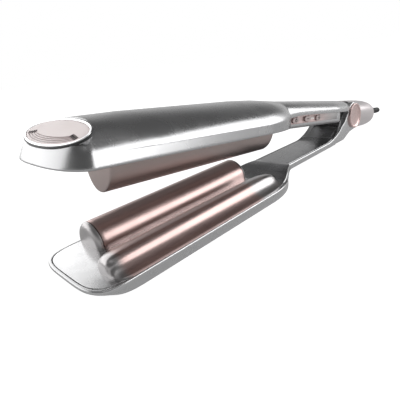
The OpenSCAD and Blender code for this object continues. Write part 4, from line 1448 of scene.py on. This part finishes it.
@dataclass
class CordOutlet:
    """Turning collar and ribbed strain relief."""

    shop: Workshop
    root_x: float = 288.0
    axis_z: float = -3.4
    collar_l: float = 3.4
    collar_r: float = 6.0
    relief_l: float = 28.0
    root_r: float = 3.2
    end_r: float = 2.4
    bore_r: float = 1.5
    ribs: int = 8

    def turned(self, profile: Sequence[Pair], x: float, n: int) -> Form:
        """Return a form turned about the cord's axis, from a place along it."""
        return Form().revolve(profile, (x, 0, self.axis_z), (1, 0, 0), (0, 1, 0), n)

    def collar(self) -> Form:
        """Return the collar.

        Returns:
            The form.
        """
        r, length, bore = self.collar_r, self.collar_l, 2.4
        profile = [(bore, 0.3), (r - 0.2, 0.3), (r, 0.5)]
        profile += fillet((r, length), (r, length - 1.2), (r - 1.4, length), 6) + [(bore, length)]
        return self.turned(profile, self.root_x, 96)

    def sleeve(self) -> Form:
        """Return the sleeve that carries the ribs.

        Returns:
            The form.
        """
        length, bore, root, end = self.relief_l, self.bore_r, self.root_r - 0.4, self.end_r
        profile = [(bore, -1.0), (root, -1.0), (root, 0.4), (end - 0.4, length - 1.4), (end, length - 1.2),
                   (end, length - 0.3), (end - 0.3, length), (bore, length)]
        return self.turned(profile, self.root_x + self.collar_l, 64)

    def ribbing(self) -> Pattern:
        """Return the tree of ribs that get smaller towards the cord.

        Returns:
            The tree.
        """
        pitch = self.relief_l / self.ribs
        tree = Pattern("rib_row", {
            "Count": self.ribs, "Pitch": pitch * MM, "Radius": (self.root_r - 0.5) * MM,
            "Shrink": (1 - self.end_r / self.root_r) / self.ribs, "Width": 0.62 * pitch * MM,
            "Depth": 1.0 * MM, "Rounding": 0.22 * MM})
        band = tree.node("GeometryNodeCurvePrimitiveQuadrilateral",
                         {"Width": tree.size("Depth"), "Height": tree.size("Width")}, mode="RECTANGLE")
        values = {"Curve": band, "Radius": tree.size("Rounding"), "Count": 3}
        band = tree.node("GeometryNodeFilletCurve", values, mode="POLY")
        ring = tree.tube(tree.circle(tree.size("Radius"), 64), band)
        upright = tree.node("GeometryNodeTransform", {"Geometry": ring, "Rotation": (0.0, QUARTER, 0.0)})
        across = 1.0 - tree.index() * tree.size("Shrink")
        tree.finish(tree.row(tree.size("Pitch")), upright, tree.vector(1.0, across, across))
        return tree

    def build(self) -> None:
        """Build and dress the outlet."""
        shop, body = self.shop, "cord_outlet"
        shop.piece(body, "outlet_collar", self.collar(), REAR, "cord_collar")
        shop.piece(body, "relief_sleeve", self.sleeve(), RUBBER, "strain_relief")
        root = (self.root_x + self.collar_l + 1.1, 0, self.axis_z)
        shop.hand_over(self.ribbing().grow("relief_ribs", UPPER, root, shop.paint(RUBBER)), body, RUBBER)


# ------------------------------------------------------------------ studio


@dataclass
class Studio:
    """Camera, floor, world and lamps."""

    eye: Point = (-0.202012, -0.140892, 0.083613)
    right: Point = (0.684755, -0.717188, -0.129430)
    down: Point = (-0.308914, -0.124786, -0.942868)
    ahead: Point = (0.660062, 0.685617, -0.306997)
    lens: float = 32.955
    shift: Pair = (-0.04365, -0.07098)

    def camera(self) -> None:
        """Make the camera."""
        data = bpy.data.cameras.new("camera")
        data.sensor_width, data.lens = 36.0, self.lens
        data.shift_x, data.shift_y = self.shift
        data.clip_start, data.clip_end = 0.01, 20.0
        obj = stand("camera", data)
        axes = Matrix((self.right, tuple(-v for v in self.down), tuple(-v for v in self.ahead))).transposed()
        obj.matrix_world = Matrix.Translation(self.eye) @ axes.to_4x4()
        bpy.context.scene.camera = obj

    def floor(self) -> None:
        """Make the plain pale floor, white to the camera where nothing shades it."""
        mesh = bpy.data.meshes.new("floor")
        corners = [(x, y, -0.0002) for x, y in ((-4, -4), (4, -4), (4, 4), (-4, 4))]
        mesh.from_pydata(corners, [], [(0, 1, 2, 3)])
        material = bpy.data.materials.new("floor_pale")
        material.use_nodes = True
        kit = Shade(material.node_tree)
        tone = kit.scaled((kit.noise(kit.place(), 3.0, 2.0) - 0.5) * 0.02 + 0.4, (1.0, 1.0, 1.0))
        away = kit.node("ShaderNodeVectorMath", {0: kit.place()}, out=1, operation="LENGTH")
        seen = (kit.ray("Camera") + kit.ray("Transmission")).bounded()
        glow = seen * away.step(0.3, 1.4, 0.92, 1.2) + kit.ray("Glossy") * 0.34
        matt = kit.node("ShaderNodeBsdfDiffuse", {"Color": tone})
        lift = kit.node("ShaderNodeEmission", {"Strength": glow})
        kit.node("ShaderNodeOutputMaterial", {"Surface": kit.node("ShaderNodeAddShader", {0: matt, 1: lift})})
        mesh.materials.append(material)
        stand("floor", mesh)

    def world(self) -> None:
        """Make the surroundings: pale at the horizon, darker overhead, and white to the camera."""
        world = bpy.data.worlds.new("studio")
        bpy.context.scene.world = world
        world.use_nodes = True
        kit = Shade(world.node_tree)
        where = kit.node("ShaderNodeTexCoord", out="Generated")
        height = kit.node("ShaderNodeSeparateXYZ", {0: where}, out=2)
        level = height.step(0.0, 0.55, 0.85, 0.13) + height.step(0.72, 0.95, 0.0, 0.2)
        strength = level + (1.0 - level) * kit.ray("Camera")
        back = kit.node("ShaderNodeBackground", {"Color": (1, 1, 1, 1), "Strength": strength})
        kit.node("ShaderNodeOutputWorld", {"Surface": back})

    def lamp(self, name: str, azimuth: float, elevation: float, distance: float, size: Pair,
             radiance: float) -> None:
        """Make one soft lamp.

        Args:
            name: Its name.
            azimuth: Its direction from the object, in degrees from +X towards +Y.
            elevation: Its height over the horizon, in degrees.
            distance: Its distance in metres.
            size: Its width and height in metres.
            radiance: How bright its face is, where 1 is white.
        """
        data = bpy.data.lights.new(name, "AREA")
        data.shape = "RECTANGLE"
        data.size, data.size_y = size
        data.energy = radiance * size[0] * size[1] * 4
        obj = stand(name, data)
        a, e = math.radians(azimuth), math.radians(elevation)
        way = Vector((math.cos(a) * math.cos(e), math.sin(a) * math.cos(e), math.sin(e)))
        obj.location = way * distance
        obj.rotation_mode = "QUATERNION"
        obj.rotation_quaternion = (-way).to_track_quat("-Z", "Y")
        obj.visible_camera = False

    def build(self) -> None:
        """Build the studio."""
        self.camera()
        self.floor()
        self.world()
        self.lamp("key_right", -46, 26, 1.0, (1.15, 0.62), 2.4)
        self.lamp("fill_left", 112, 22, 1.0, (1.35, 0.7), 1.3)
        self.lamp("top", 200, 80, 1.2, (0.6, 0.6), 0.8)


# ------------------------------------------------------------------ the whole


CARRIED: dict[str, Finish] = {
    "upper_heater": FOIL, "lower_heater_clips": LEAF, "upper_heater_clip": LEAF,
    "lower_thermistor": BEAD, "upper_thermistor": BEAD, "thermal_fuse": FOIL, "lower_screws": STEEL,
    "upper_screws": STEEL, "pivot_pin": STEEL, "control_board": BOARD, "tact_switches": BLACK,
    "indicator_lights": LIGHT, "torsion_spring": STEEL, "button_power": BUTTON, "button_minus": BUTTON,
    "button_plus": BUTTON,
}


def main() -> None:
    """Build the crimper in its studio."""
    logging.basicConfig(level=logging.INFO, format="%(name)s: %(message)s")
    bpy.context.scene.view_settings.view_transform = "Standard"
    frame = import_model()
    Studio().build()
    shop = Workshop(frame)
    LowerArm(shop).build()
    near = LowerBarrel(shop, "near", -1, x0=23.5, length=72.5, cap=13.0, tail=27.5, h=6.6, seam=0.0,
                       crest=4.4)
    near.build(FRONT_FADE, FRONT_FADE, REAR_FADE)
    LowerBarrel(shop, "far", 1, x0=22.0, length=99.0, cap=2.6, tail=1.6).build(ROSE, CAP, CAP)
    UpperArm(shop).build()
    CordOutlet(shop).build()
    for node, finish in CARRIED.items():
        shop.dress(node, finish)


if __name__ == "__main__":
    main()
